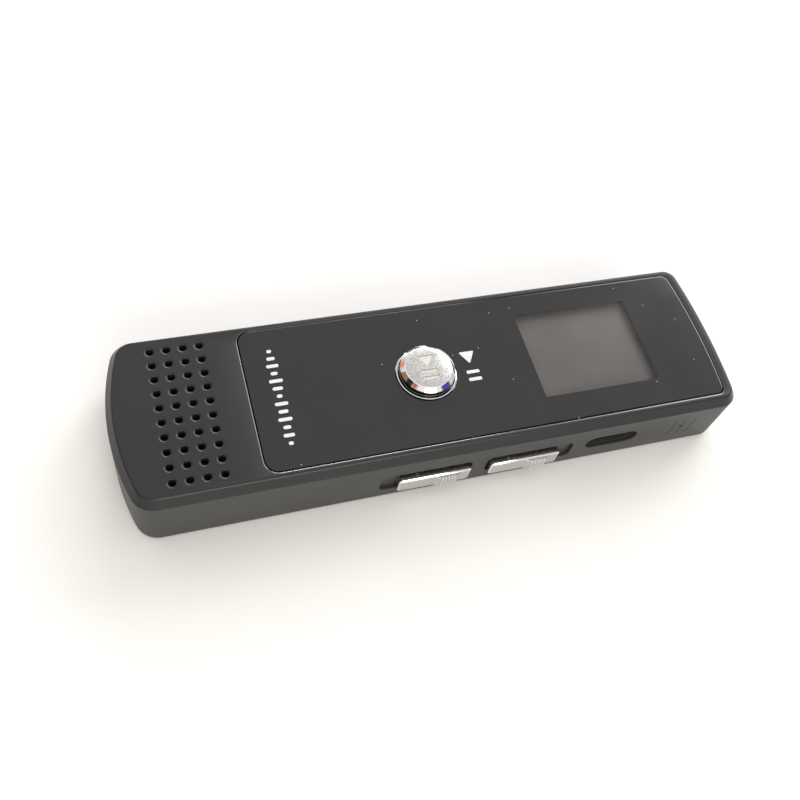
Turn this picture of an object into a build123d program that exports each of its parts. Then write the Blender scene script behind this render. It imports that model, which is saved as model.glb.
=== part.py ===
"""Handheld voice recorder: flat oblong case, speaker grille, lens over a display, two slide
switches, a round play button, a charging port and a microphone, with all that they need inside.

Units are millimetres. The origin is the centre of the flat underside. +X runs to the display end,
-X to the speaker end, -Y is the long side with the switches, and +Z is up through the lens.
"""
import os
from math import radians, sqrt, tan

from build123d import *

# ---------------------------------------------------------------- case, overall
case_length = 95.0
case_width = 26.8
case_height = 11.2          # to the top face, without the button
speaker_end_bow = 37.4      # radius of the bowed end wall
display_end_bow = 106.0
speaker_end_corner = 3.4
display_end_corner = 2.8
cover_edge_height = 1.5     # height of the cover's sloped edge, above the parting line
cover_edge_slope = 0.95     # how far that edge runs in
underside_edge = 0.7        # bevel round the underside
side_wall = 1.4
floor_thickness = 1.3
cover_thickness = 1.7
lip_height = 1.4
lip_thickness = 0.8
lip_clearance = 0.1
least_corner = 0.5          # smallest inside corner of any wall

# ---------------------------------------------------------------- speaker grille
grille_from_end = 10.7      # centre of the hole field from the speaker end
grille_columns = 4
grille_rows = 10
grille_pitch = 2.33
grille_hole = 1.0           # diameter
grille_dimple = 1.45        # diameter of the countersink
grille_dimple_depth = 0.22

# ---------------------------------------------------------------- lens over the top
lens_from_speaker_end = 19.6
lens_side_margin = 1.67
lens_end_margin = 2.35
lens_near_corner = 2.0
lens_far_corner = 1.5
lens_thickness = 0.8
lens_gap = 0.12             # all round, in its recess
lens_rim_bevel = 0.22       # bright-cut edge of the recess
adhesive_thickness = 0.1
adhesive_setback = 0.5

# ---------------------------------------------------------------- display under the lens
window_from_display_end = 22.6
window_length = 19.2
window_width = 15.1
window_offset = 0.25        # of the window's centre, towards +Y
glass_margin = 2.1          # the display glass reaches past the window by this
display_fit = 0.2           # round the display glass, in the cover's opening
gasket_margin = 0.6         # the gasket's opening, wider than the window by this on each side
gasket_setback = 0.15       # from the glass's edge
glass_thickness = 0.95
display_gasket_thickness = 0.25
backlight_thickness = 0.8
backlight_setback = 0.4
cushion_setback = 2.5
flex_width = 8.0
flex_thickness = 0.14
flex_bend = 0.8             # radius on its centre line
flex_connector_length = 2.2
flex_connector_width = 9.2
flex_connector_height = 1.3
flex_connector_from_end = 5.0

# ---------------------------------------------------------------- play button
button_from_speaker_end = 45.9
button_radius = 4.17
button_rise = 1.7           # top of the cap above the lens
button_bevel_rise = 0.55
button_bevel_run = 0.65
button_travel = 0.35
button_flange = 0.95        # flange reaches out past the cap by this
button_flange_thickness = 0.6
button_flange_gap = 0.06
button_stem_radius = 1.6
symbol_depth = 0.15         # of the play and pause marks sunk in the cap
symbol_width = 2.6
symbol_triangle_height = 1.9
symbol_triangle_centre = 1.15
symbol_bar_height = 0.5
symbol_bar_centres = (-0.6, -1.75)
ring_gap = 0.12             # between cap and ring
ring_thickness = 0.28
ring_rise = 0.08            # above the lens
ring_step = 0.33            # width of the ring's foot
ring_fit = 0.04             # round that foot, in the cover
ring_ledge = 0.3            # thickness of the cover's ledge under the ring

# ---------------------------------------------------------------- push switch under the button
push_size = 6.0
push_height = 3.5
push_hat = 0.5              # thickness of the switch's top plate
push_base = 0.6
push_cavity_radius = 2.35
plunger_radius = 1.7
plunger_rise = 1.5          # above the switch's body
plunger_flange_radius = 2.1
plunger_flange_thickness = 0.6
plunger_clearance = 0.1
dome_radius = 2.2
dome_height = 0.7
dome_sheet = 0.1

# ---------------------------------------------------------------- slide switches on the front side
record_slot_from_speaker_end = 43.15
power_slot_from_speaker_end = 59.75
pocket_length = 14.1        # shallow pocket that the knob slides in
pocket_height = 4.0
pocket_depth = 0.6
pocket_corner = 0.9
pocket_centre_height = 4.45
knob_length = 11.2
knob_height = 3.1
knob_corner = 0.4
knob_centre_height = 4.2
knob_end_gap = 0.35         # left at each end of its travel
knob_floor_gap = 0.06       # between its bar and the pocket's floor
knob_rise = 0.8             # its bar stands proud of the wall by this
knob_bevel = 0.22
grip_rise = 0.65
grip_base = 4.1
grip_top = 2.4
grip_from_knob_end = 7.5    # centre of the grip, from the knob's speaker end
grip_rib_depth = 0.15
grip_rib_count = 5
mark_from_knob_end = 2.9    # small index notch in the bar's top
mark_width = 0.5
mark_depth = 0.3
neck_length = 6.0           # joins the bar to the carrier inside
neck_height = 1.8
neck_fit = 0.1
carrier_length = 11.0
carrier_height = 4.0
carrier_thickness = 1.0
carrier_wall_gap = 0.1
lever_size = 1.2
lever_reach = 0.5           # into the carrier
lever_fit = 0.08
slider_body_length = 9.0
slider_body_depth = 3.4
slider_body_height = 2.0
slider_body_gap = 0.2       # behind the carrier
slider_window_depth = 2.0

# ---------------------------------------------------------------- charging port
port_from_display_end = 21.45
port_length = 8.8
port_height = 3.15
port_shell_length = 8.94
port_shell_height = 3.2
port_shell_depth = 7.3
port_shell_sheet = 0.3
port_front_lip = 0.5        # wall left in front of the port's shell
port_fit = 0.15
port_tongue_length = 6.7
port_tongue_thickness = 0.7
port_tongue_reach = 4.9
port_back = 1.6

# ---------------------------------------------------------------- microphone
mic_from_display_end = 9.2
mic_centre_height = 5.35
mic_groove_count = 3
mic_groove_pitch = 1.7
mic_groove_width = 0.7
mic_groove_length = 3.9
mic_groove_depth = 0.2
mic_hole = 0.5
mic_capsule_radius = 2.0
mic_capsule_depth = 1.6
mic_boot_wall = 0.5
mic_boot_front = 0.7
mic_board_gap = 0.3

# ---------------------------------------------------------------- circuit board
board_from_speaker_end = 18.4
board_from_display_end = 2.9
board_front_margin = 2.6    # from the case's front face
board_back_margin = 1.9
board_thickness = 1.0
board_bottom = 2.5
board_corner = 1.0

# chips on the board: distance from the speaker end, y, then length, width and height
processor_block = (34.5, 1.5, 7.0, 7.0, 0.9)
memory_block = (25.5, 1.0, 8.0, 6.0, 1.0)
amplifier_block = (27.0, -6.3, 3.0, 3.0, 0.75)
crystal_block = (34.5, -5.6, 3.2, 2.5, 0.8)
regulator_block = (34.0, 8.3, 2.9, 1.6, 1.1)
capacitor_count = 4          # in each row
capacitor_height = 0.6
# rows of capacitors: first one's distance from the speaker end and y, length, width, then the
# step from one to the next along the case and across it
capacitor_rows = (
    (30.2, -8.6, 0.8, 1.0, 0.0, 1.5),
    (24.0, 6.4, 1.2, 0.7, 1.9, 0.0),
    (39.6, -4.0, 0.8, 1.2, 0.0, 2.2),
)

# ---------------------------------------------------------------- screws, from below
screw_from_speaker_end = 21.0
screw_from_display_end = 4.1
screw_from_side = 4.6
screw_radius = 0.8
screw_length = 5.0
screw_head_radius = 1.35
screw_head_height = 0.9
screw_head_recess = 0.25    # head below the underside
screw_cross = 0.32
screw_cross_depth = 0.45
screw_thread_fit = 0.02
screw_hole_fit = 0.1
screw_head_fit = 0.15
post_radius = 1.7
post_board_gap = 0.25
boss_radius = 2.4

# ---------------------------------------------------------------- battery, over the board
battery_from_display_end = 8.0
battery_length = 34.0
battery_width = 16.4
battery_thickness = 3.6
battery_from_back_wall = 0.6
battery_tape = 0.2
battery_corner = 1.2
guard_board_length = 1.2
guard_board_width = 12.0
guard_board_height = 2.4

# ---------------------------------------------------------------- speaker
speaker_length = 11.0       # along the case
speaker_width = 21.6        # across it
speaker_frame_height = 2.0
speaker_frame_rim = 1.2
speaker_magnet_length = 7.0
speaker_magnet_width = 14.0
speaker_magnet_height = 1.5
speaker_corner = 1.6
cone_sheet = 0.15
cone_rise = 0.6
speaker_gasket_thickness = 0.5
mesh_thickness = 0.1
mesh_margin = 0.35
rib_thickness = 0.9
rib_width = 9.0
rib_gap = 0.1

# ---------------------------------------------------------------- leads
lead_radius = 0.35
lead_pitch = 1.6
speaker_lead_reach = 3.4
battery_lead_reach = 2.2
lead_bend_share = 0.45      # of the shorter run

# ---------------------------------------------------------------- places worked out from the above
speaker_end = -case_length / 2
display_end = case_length / 2
front_face = -case_width / 2
front_inside = front_face + side_wall
back_inside = case_width / 2 - side_wall
parting_height = case_height - cover_edge_height
cover_underside = case_height - cover_thickness
recess_floor = case_height - lens_thickness - adhesive_thickness
board_top = board_bottom + board_thickness
grille_x = speaker_end + grille_from_end
window_x = display_end - window_from_display_end
button_x = speaker_end + button_from_speaker_end
ring_inner = button_radius + ring_gap
ring_outer = ring_inner + ring_thickness
knob_travel = pocket_length - knob_length - 2 * knob_end_gap
knob_back = front_face + pocket_depth - knob_floor_gap
carrier_front = front_inside + carrier_wall_gap
carrier_back = carrier_front + carrier_thickness
slider_front = carrier_back + slider_body_gap
port_x = display_end - port_from_display_end
port_z = board_top + port_shell_height / 2
port_front = front_face + port_front_lip
mic_x = display_end - mic_from_display_end
mic_boot_radius = mic_capsule_radius + mic_boot_wall
slider_centre_height = board_top + slider_body_height / 2
push_top = board_top + push_height
plunger_top = push_top + plunger_rise
mesh_bottom = cover_underside - mesh_thickness
speaker_top = mesh_bottom - speaker_gasket_thickness
speaker_frame_bottom = speaker_top - speaker_frame_height
magnet_bottom = speaker_frame_bottom - speaker_magnet_height
lens_underside = case_height - lens_thickness
aperture_margin = glass_margin + display_fit
glass_top = lens_underside - display_gasket_thickness
glass_bottom = glass_top - glass_thickness
backlight_bottom = glass_bottom - backlight_thickness
battery_end = display_end - battery_from_display_end
battery_start = battery_end - battery_length
battery_back = back_inside - battery_from_back_wall
battery_bottom = board_top + battery_tape
screw_places = [
    (x, y)
    for x in (speaker_end + screw_from_speaker_end, display_end - screw_from_display_end)
    for y in (front_face + screw_from_side, -front_face - screw_from_side)
]
FROM_BOTTOM = (Align.CENTER, Align.CENTER, Align.MIN)


# ---------------------------------------------------------------- helpers
def block(x_low, x_high, y_low, y_high, z_low, z_high):
    """A box between two corners."""
    middle = Pos((x_low + x_high) / 2, (y_low + y_high) / 2, (z_low + z_high) / 2)
    return middle * Box(x_high - x_low, y_high - y_low, z_high - z_low)


def disc(x, y, z_low, z_high, radius):
    """An upright cylinder."""
    return Pos(x, y, z_low) * Cylinder(radius, z_high - z_low, align=FROM_BOTTOM)


def slab(face, z_low, z_high):
    """A plan outline made solid between two heights."""
    return extrude(Pos(0, 0, z_low) * face, z_high - z_low)


def rounded_slab(x, y, length, width, corner, z_low, z_high):
    """A flat block with rounded upright corners."""
    return slab(Pos(x, y) * RectangleRounded(length, width, corner), z_low, z_high)


def wall_face(x, z, shape, y):
    """A flat shape drawn on a plane that faces the front side, at depth y."""
    return Plane(origin=(x, y, z), x_dir=(1, 0, 0), z_dir=(0, -1, 0)) * shape


def front_prism(x, z, shape, y_front, y_back):
    """A shape seen from the front side, made solid between two depths."""
    return extrude(wall_face(x, z, shape, y_back), y_back - y_front)


def ends_outline(left_x, left_bow, right_x, right_bow, side, left_corner, right_corner):
    """A plan outline with straight sides and bowed ends; a bow of 0 is a straight end."""
    left_sag = left_bow - sqrt(left_bow**2 - side**2) if left_bow else 0.0
    right_sag = right_bow - sqrt(right_bow**2 - side**2) if right_bow else 0.0
    near_left = (left_x + left_sag, -side)
    far_left = (left_x + left_sag, side)
    near_right = (right_x - right_sag, -side)
    far_right = (right_x - right_sag, side)
    left_edge = Line(far_left, near_left)
    if left_bow:
        left_edge = ThreePointArc(far_left, (left_x, 0), near_left)
    right_edge = Line(near_right, far_right)
    if right_bow:
        right_edge = ThreePointArc(near_right, (right_x, 0), far_right)
    face = make_face([left_edge, Line(near_left, near_right), right_edge, Line(far_right, far_left)])
    face = fillet(face.vertices().group_by(Axis.X)[0], left_corner)
    return fillet(face.vertices().group_by(Axis.X)[-1], right_corner)


def case_outline(inset):
    """The case's plan outline, moved in by inset all round."""
    return ends_outline(
        speaker_end + inset,
        speaker_end_bow - inset,
        display_end - inset,
        display_end_bow - inset,
        case_width / 2 - inset,
        max(speaker_end_corner - inset, least_corner),
        max(display_end_corner - inset, least_corner),
    )


def lens_outline(inset):
    """The lens recess's plan outline, moved in by inset all round."""
    return ends_outline(
        speaker_end + lens_from_speaker_end + inset,
        0.0,
        display_end - lens_end_margin - inset,
        display_end_bow - lens_end_margin - inset,
        case_width / 2 - lens_side_margin - inset,
        max(lens_near_corner - inset, least_corner),
        max(lens_far_corner - inset, least_corner),
    )


def window_block(margin, z_low, z_high):
    """A block over the display window, wider than it by margin on each side."""
    return rounded_slab(
        window_x,
        window_offset,
        window_length + 2 * margin,
        window_width + 2 * margin,
        least_corner,
        z_low,
        z_high,
    )


def stadium(length, height):
    """A flat shape with two half-round ends."""
    return SlotOverall(length, height)


def lead(points):
    """A round lead along straight runs joined by arcs."""
    start, corner, end = (Vector(*point) for point in points)
    shorter = min((corner - start).length, (end - corner).length)
    turn = radians((corner - start).get_angle(end - corner))
    bend = lead_bend_share * shorter / tan(turn / 2)
    path = FilletPolyline(start, corner, end, radius=bend)
    section = Plane(origin=start, z_dir=corner - start) * Circle(lead_radius)
    return sweep(section, path=path)


# ---------------------------------------------------------------- case
def make_top_cover():
    sloped = loft([
        Pos(0, 0, parting_height) * case_outline(0.0),
        Pos(0, 0, case_height) * case_outline(cover_edge_slope),
    ], ruled=True)
    inner = side_wall + lip_clearance
    cover = sloped + slab(case_outline(inner), cover_underside, parting_height)
    lip = slab(case_outline(inner), cover_underside - lip_height, cover_underside)
    lip -= slab(case_outline(inner + lip_thickness), cover_underside - lip_height, cover_underside)
    cover += lip
    for x, y in screw_places:
        cover += disc(x, y, board_bottom, cover_underside, post_radius)
    cover -= slab(lens_outline(0.0), recess_floor, case_height)
    cover -= loft([
        Pos(0, 0, case_height - lens_rim_bevel) * lens_outline(0.0),
        Pos(0, 0, case_height) * lens_outline(-lens_rim_bevel),
    ], ruled=True)
    cover -= window_block(aperture_margin, cover_underside, recess_floor)
    cover -= disc(button_x, 0, cover_underside, recess_floor, ring_inner)
    cover -= disc(button_x, 0, cover_underside + ring_ledge, recess_floor, ring_outer + ring_step)
    thread_hole = screw_radius + screw_thread_fit
    thread_top = board_bottom + screw_length
    for x, y in screw_places:
        cover -= disc(x, y, board_bottom, thread_top, thread_hole)
    hole = Cylinder(grille_hole / 2, cover_thickness, align=FROM_BOTTOM)
    dimple_foot = cover_thickness - grille_dimple_depth
    hole += Pos(0, 0, dimple_foot) * Cone(
        grille_hole / 2, grille_dimple / 2, grille_dimple_depth, align=FROM_BOTTOM
    )
    centre = Pos(grille_x, 0, cover_underside)
    grid = GridLocations(grille_pitch, grille_pitch, grille_columns, grille_rows)
    return cover - [centre * place * hole for place in grid]


def make_bottom_case():
    bevelled = loft([
        case_outline(underside_edge),
        Pos(0, 0, underside_edge) * case_outline(0.0),
    ], ruled=True)
    case = bevelled + slab(case_outline(0.0), underside_edge, parting_height)
    case -= slab(case_outline(side_wall), floor_thickness, parting_height)
    inside = slab(case_outline(side_wall / 2), floor_thickness, parting_height)
    for x, y in screw_places:
        case += disc(x, y, floor_thickness, board_bottom, boss_radius) & inside
    for side in (-1, 1):
        rib_x = grille_x + side * speaker_magnet_length / 4
        case += block(
            rib_x - rib_thickness / 2, rib_x + rib_thickness / 2,
            -rib_width / 2, rib_width / 2,
            floor_thickness, magnet_bottom - rib_gap,
        )
    head_top = screw_head_recess + screw_head_height
    for x, y in screw_places:
        case -= disc(x, y, 0, head_top, screw_head_radius + screw_head_fit)
        case -= disc(x, y, 0, board_bottom, screw_radius + screw_hole_fit)
    pocket = RectangleRounded(pocket_length, pocket_height, pocket_corner)
    slot = Rectangle(neck_length + knob_travel + 2 * knob_end_gap, neck_height + 2 * neck_fit)
    for slot_from_end in (record_slot_from_speaker_end, power_slot_from_speaker_end):
        slot_x = speaker_end + slot_from_end
        case -= front_prism(
            slot_x, pocket_centre_height, pocket, front_face, front_face + pocket_depth
        )
        case -= front_prism(slot_x, knob_centre_height, slot, front_face, front_inside)
    case -= front_prism(port_x, port_z, stadium(port_length, port_height), front_face, front_inside)
    pocket = stadium(port_shell_length + 2 * port_fit, port_shell_height + 2 * port_fit)
    case -= front_prism(port_x, port_z, pocket, port_front - port_fit, front_inside)
    groove = Rot(0, 0, 90) * stadium(mic_groove_length, mic_groove_width)
    for index in range(mic_groove_count):
        groove_x = mic_x + (index - (mic_groove_count - 1) / 2) * mic_groove_pitch
        case -= front_prism(
            groove_x, mic_centre_height, groove, front_face, front_face + mic_groove_depth
        )
    case -= front_prism(mic_x, mic_centre_height, Circle(mic_hole / 2), front_face, front_inside)
    return case


def make_case_screws():
    screws = []
    head_top = screw_head_recess + screw_head_height
    for x, y in screw_places:
        screw = disc(x, y, screw_head_recess, head_top, screw_head_radius)
        screw += disc(x, y, head_top, head_top + screw_length, screw_radius)
        cross_top = screw_head_recess + screw_cross_depth
        for length, width in ((2 * screw_radius, screw_cross), (screw_cross, 2 * screw_radius)):
            screw -= block(
                x - length / 2, x + length / 2, y - width / 2, y + width / 2,
                screw_head_recess, cross_top,
            )
        screws.append(screw)
    return screws


# ---------------------------------------------------------------- lens and display
def make_lens_panel():
    lens = slab(lens_outline(lens_gap), lens_underside, case_height)
    return lens - disc(button_x, 0, lens_underside, case_height, ring_outer + lens_gap)


def make_lens_adhesive():
    foot_radius = ring_outer + ring_step + adhesive_setback
    sheet = slab(lens_outline(adhesive_setback), recess_floor, lens_underside)
    sheet -= window_block(aperture_margin, recess_floor, lens_underside)
    return sheet - disc(button_x, 0, recess_floor, lens_underside, foot_radius)


def make_display_gasket():
    frame = window_block(glass_margin - gasket_setback, glass_top, lens_underside)
    return frame - window_block(gasket_margin, glass_top, lens_underside)


def make_display_glass():
    return window_block(glass_margin, glass_bottom, glass_top)


def make_display_backlight():
    return window_block(glass_margin - backlight_setback, backlight_bottom, glass_bottom)


def make_display_cushion():
    """Foam between the display and the battery that presses the display up to the lens."""
    low = battery_bottom + battery_thickness
    return window_block(-cushion_setback, low, backlight_bottom)


def make_display_flex():
    """From the light guide's end face over the battery's end, down, and into its connector."""
    start_x = window_x + window_length / 2 + glass_margin - backlight_setback
    drop_x = display_end - flex_connector_from_end - flex_connector_length / 2 - 2 * flex_bend
    high_z = backlight_bottom + backlight_thickness / 2
    low_z = board_top + flex_connector_height / 2
    end_x = display_end - flex_connector_from_end - flex_connector_length / 2
    corners = [(start_x, high_z), (drop_x, high_z), (drop_x, low_z), (end_x, low_z)]
    path = FilletPolyline(*[(x, 0, z) for x, z in corners], radius=flex_bend)
    section = Plane(origin=(start_x, 0, high_z), x_dir=(0, 1, 0), z_dir=(1, 0, 0))
    return sweep(section * Rectangle(flex_width, flex_thickness), path=path)


def make_flex_connector():
    centre_x = display_end - flex_connector_from_end
    return block(
        centre_x - flex_connector_length / 2, centre_x + flex_connector_length / 2,
        -flex_connector_width / 2, flex_connector_width / 2,
        board_top, board_top + flex_connector_height,
    )


# ---------------------------------------------------------------- play button
def make_button_ring():
    foot_bottom = cover_underside + ring_ledge
    ring = disc(button_x, 0, foot_bottom, recess_floor, ring_outer + ring_step - ring_fit)
    ring += disc(button_x, 0, foot_bottom, case_height + ring_rise, ring_outer)
    return ring - disc(button_x, 0, foot_bottom, case_height + ring_rise, ring_inner)


def make_play_button():
    cap_top = case_height + button_rise
    flange_top = cover_underside - button_flange_gap
    flange_bottom = flange_top - button_flange_thickness
    bevel_foot = cap_top - button_bevel_rise
    cap = disc(button_x, 0, flange_bottom, bevel_foot, button_radius)
    cap += Pos(button_x, 0, bevel_foot) * Cone(
        button_radius, button_radius - button_bevel_run, button_bevel_rise, align=FROM_BOTTOM
    )
    cap += disc(button_x, 0, flange_bottom, flange_top, button_radius + button_flange)
    cap += disc(button_x, 0, plunger_top, flange_bottom, button_stem_radius)
    half = symbol_width / 2
    triangle_top = symbol_triangle_centre + symbol_triangle_height / 2
    triangle = make_face(Polyline(
        (button_x - half, triangle_top),
        (button_x + half, triangle_top),
        (button_x, triangle_top - symbol_triangle_height),
        close=True,
    ))
    cap -= slab(triangle, cap_top - symbol_depth, cap_top)
    for bar_y in symbol_bar_centres:
        cap -= block(
            button_x - half, button_x + half,
            bar_y - symbol_bar_height / 2, bar_y + symbol_bar_height / 2,
            cap_top - symbol_depth, cap_top,
        )
    return cap


def make_push_switch_body():
    half = push_size / 2
    body = block(button_x - half, button_x + half, -half, half, board_top, push_top)
    body -= disc(button_x, 0, board_top + push_base, push_top - push_hat, push_cavity_radius)
    hole = plunger_radius + plunger_clearance
    return body - disc(button_x, 0, push_top - push_hat, push_top, hole)


def make_push_switch_plunger():
    flange_top = push_top - push_hat - plunger_clearance / 2
    flange_bottom = flange_top - plunger_flange_thickness
    nub_bottom = board_top + push_base + dome_height + plunger_clearance / 2
    plunger = disc(button_x, 0, flange_bottom, plunger_top, plunger_radius)
    plunger += disc(button_x, 0, flange_bottom, flange_top, plunger_flange_radius)
    return plunger + disc(button_x, 0, nub_bottom, flange_bottom, plunger_radius / 2)


def make_push_switch_dome():
    """A thin domed disc, a slice of a hollow sphere."""
    seat = board_top + push_base
    outer = (dome_radius**2 + dome_height**2) / (2 * dome_height)
    centre_z = seat + dome_height - outer
    shell = Pos(button_x, 0, centre_z) * (Sphere(outer) - Sphere(outer - dome_sheet))
    return shell & disc(button_x, 0, seat, seat + dome_height, dome_radius)


# ---------------------------------------------------------------- slide switches
def knob_centre(slot_from_end, side):
    """Where a knob rests: at the end of its pocket that side names, -1 or 1."""
    slot_x = speaker_end + slot_from_end
    return slot_x + side * (pocket_length / 2 - knob_end_gap - knob_length / 2)


def make_knob(centre_x):
    face_y = front_face - knob_rise
    left = centre_x - knob_length / 2
    z = knob_centre_height
    bar = RectangleRounded(knob_length, knob_height, knob_corner)
    knob = front_prism(centre_x, z, bar, face_y, knob_back)
    knob = chamfer(knob.faces().sort_by(Axis.Y)[0].edges(), knob_bevel)
    grip_x = left + grip_from_knob_end
    grip_z = z - knob_height / 2 + knob_bevel
    profile = make_face(Polyline(
        (grip_x - grip_base / 2, face_y),
        (grip_x - grip_top / 2, face_y - grip_rise),
        (grip_x + grip_top / 2, face_y - grip_rise),
        (grip_x + grip_base / 2, face_y),
        close=True,
    ))
    knob += slab(profile, grip_z, grip_z + knob_height - 2 * knob_bevel)
    rib_pitch = grip_top / grip_rib_count
    for index in range(grip_rib_count - 1):
        groove_x = grip_x - grip_top / 2 + rib_pitch * (index + 1)
        knob -= block(
            groove_x - rib_pitch / 4, groove_x + rib_pitch / 4,
            face_y - grip_rise, face_y - grip_rise + grip_rib_depth,
            grip_z, grip_z + knob_height,
        )
    mark_x = left + mark_from_knob_end
    knob -= block(
        mark_x - mark_width / 2, mark_x + mark_width / 2,
        front_face - mark_depth, knob_back,
        z + knob_height / 2 - mark_depth, z + knob_height / 2,
    )
    neck = Rectangle(neck_length, neck_height)
    return knob + front_prism(centre_x, z, neck, knob_back, carrier_front)


def make_carrier(centre_x):
    """The plate inside the case that the knob's neck is fixed to and the lever sits in."""
    plate = Rectangle(carrier_length, carrier_height)
    carrier = front_prism(centre_x, knob_centre_height, plate, carrier_front, carrier_back)
    socket = Rectangle(lever_size + 2 * lever_fit, lever_size + 2 * lever_fit)
    socket_front = carrier_back - lever_reach - lever_fit
    return carrier - front_prism(
        centre_x, slider_centre_height, socket, socket_front, carrier_back
    )


def make_slider_lever(centre_x):
    tip = carrier_back - lever_reach
    root = slider_front + slider_window_depth - lever_fit
    return front_prism(
        centre_x, slider_centre_height, Rectangle(lever_size, lever_size), tip, root
    )


def make_slider_body(slot_from_end):
    slot_x = speaker_end + slot_from_end
    body = block(
        slot_x - slider_body_length / 2, slot_x + slider_body_length / 2,
        slider_front, slider_front + slider_body_depth,
        board_top, board_top + slider_body_height,
    )
    opening = Rectangle(
        lever_size + knob_travel + 2 * knob_end_gap, lever_size + 2 * lever_fit
    )
    return body - front_prism(
        slot_x, slider_centre_height, opening, slider_front, slider_front + slider_window_depth
    )


# ---------------------------------------------------------------- board and what is soldered to it
def make_circuit_board():
    left = speaker_end + board_from_speaker_end
    right = display_end - board_from_display_end
    front = front_face + board_front_margin
    back = -front_face - board_back_margin
    board = rounded_slab(
        (left + right) / 2, (front + back) / 2, right - left, back - front,
        board_corner, board_bottom, board_top,
    )
    for x, y in screw_places:
        board -= disc(x, y, board_bottom, board_top, post_radius + post_board_gap)
    notch_half = mic_boot_radius + mic_board_gap
    notch_back = front_inside + mic_boot_front + mic_capsule_depth + mic_board_gap
    return board - block(
        mic_x - notch_half, mic_x + notch_half, front, notch_back, board_bottom, board_top
    )


def on_board(from_speaker_end, y, length, width, height):
    """A chip's block on the board's top face."""
    x = speaker_end + from_speaker_end
    return block(
        x - length / 2, x + length / 2, y - width / 2, y + width / 2,
        board_top, board_top + height,
    )


def make_main_processor():
    return on_board(*processor_block)


def make_flash_memory():
    return on_board(*memory_block)


def make_audio_amplifier():
    return on_board(*amplifier_block)


def make_clock_crystal():
    return on_board(*crystal_block)


def make_voltage_regulator():
    return on_board(*regulator_block)


def make_chip_capacitors():
    """Small ceramic capacitors and resistors, in rows beside the chips."""
    return [
        on_board(x + along * step, y + across * step, length, width, capacitor_height)
        for x, y, length, width, along, across in capacitor_rows
        for step in range(capacitor_count)
    ]


def make_port_shell():
    outer = stadium(port_shell_length, port_shell_height)
    hollow = stadium(
        port_shell_length - 2 * port_shell_sheet, port_shell_height - 2 * port_shell_sheet
    )
    back = port_front + port_shell_depth
    shell = front_prism(port_x, port_z, outer, port_front, back)
    return shell - front_prism(port_x, port_z, hollow, port_front, back)


def make_port_tongue():
    plug = stadium(
        port_shell_length - 2 * port_shell_sheet, port_shell_height - 2 * port_shell_sheet
    )
    back = port_front + port_shell_depth
    base = front_prism(port_x, port_z, plug, back - port_back, back)
    blade = Rectangle(port_tongue_length, port_tongue_thickness)
    blade_front = back - port_back - port_tongue_reach
    return base + front_prism(port_x, port_z, blade, blade_front, back - port_back)


# ---------------------------------------------------------------- microphone
def make_microphone_boot():
    back = front_inside + mic_boot_front + mic_capsule_depth
    boot = front_prism(mic_x, mic_centre_height, Circle(mic_boot_radius), front_inside, back)
    pocket = Circle(mic_capsule_radius)
    boot -= front_prism(mic_x, mic_centre_height, pocket, front_inside + mic_boot_front, back)
    sound_hole = Circle(mic_hole / 2)
    return boot - front_prism(mic_x, mic_centre_height, sound_hole, front_inside, back)


def make_microphone_capsule():
    front = front_inside + mic_boot_front
    can = front_prism(
        mic_x, mic_centre_height, Circle(mic_capsule_radius), front, front + mic_capsule_depth
    )
    inlet = Circle(mic_hole / 2)
    return can - front_prism(mic_x, mic_centre_height, inlet, front, front + mic_capsule_depth / 4)


# ---------------------------------------------------------------- battery
def make_battery_cell():
    return rounded_slab(
        (battery_start + battery_end) / 2, battery_back - battery_width / 2,
        battery_length, battery_width, battery_corner,
        battery_bottom, battery_bottom + battery_thickness,
    )


def make_battery_tape():
    return rounded_slab(
        (battery_start + battery_end) / 2, battery_back - battery_width / 2,
        battery_length - 2 * battery_corner, battery_width - 2 * battery_corner, battery_corner,
        board_top, battery_bottom,
    )


def make_battery_guard_board():
    middle_y = battery_back - battery_width / 2
    middle_z = battery_bottom + battery_thickness / 2
    return block(
        battery_start - guard_board_length, battery_start,
        middle_y - guard_board_width / 2, middle_y + guard_board_width / 2,
        middle_z - guard_board_height / 2, middle_z + guard_board_height / 2,
    )


def make_battery_leads():
    start_x = battery_start - guard_board_length
    drop_x = start_x - battery_lead_reach
    z = battery_bottom + battery_thickness / 2
    middle_y = battery_back - battery_width / 2
    return [
        lead([(start_x, y, z), (drop_x, y, z), (drop_x, y, board_top)])
        for y in (middle_y + 2 * lead_pitch, middle_y + 3 * lead_pitch)
    ]


# ---------------------------------------------------------------- speaker
def make_speaker_mesh():
    return rounded_slab(
        grille_x, 0, speaker_length - 2 * mesh_margin, speaker_width - 2 * mesh_margin,
        speaker_corner, mesh_bottom, cover_underside,
    )


def make_speaker_gasket():
    ring = rounded_slab(
        grille_x, 0, speaker_length, speaker_width, speaker_corner, speaker_top, mesh_bottom
    )
    inner_length = speaker_length - 2 * speaker_frame_rim
    inner_width = speaker_width - 2 * speaker_frame_rim
    return ring - rounded_slab(
        grille_x, 0, inner_length, inner_width, speaker_corner, speaker_top, mesh_bottom
    )


def make_speaker_frame():
    frame = rounded_slab(
        grille_x, 0, speaker_length, speaker_width, speaker_corner,
        speaker_frame_bottom, speaker_top,
    )
    inner_length = speaker_length - 2 * speaker_frame_rim
    inner_width = speaker_width - 2 * speaker_frame_rim
    return frame - rounded_slab(
        grille_x, 0, inner_length, inner_width, speaker_corner,
        speaker_frame_bottom + speaker_frame_rim / 2, speaker_top,
    )


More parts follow.
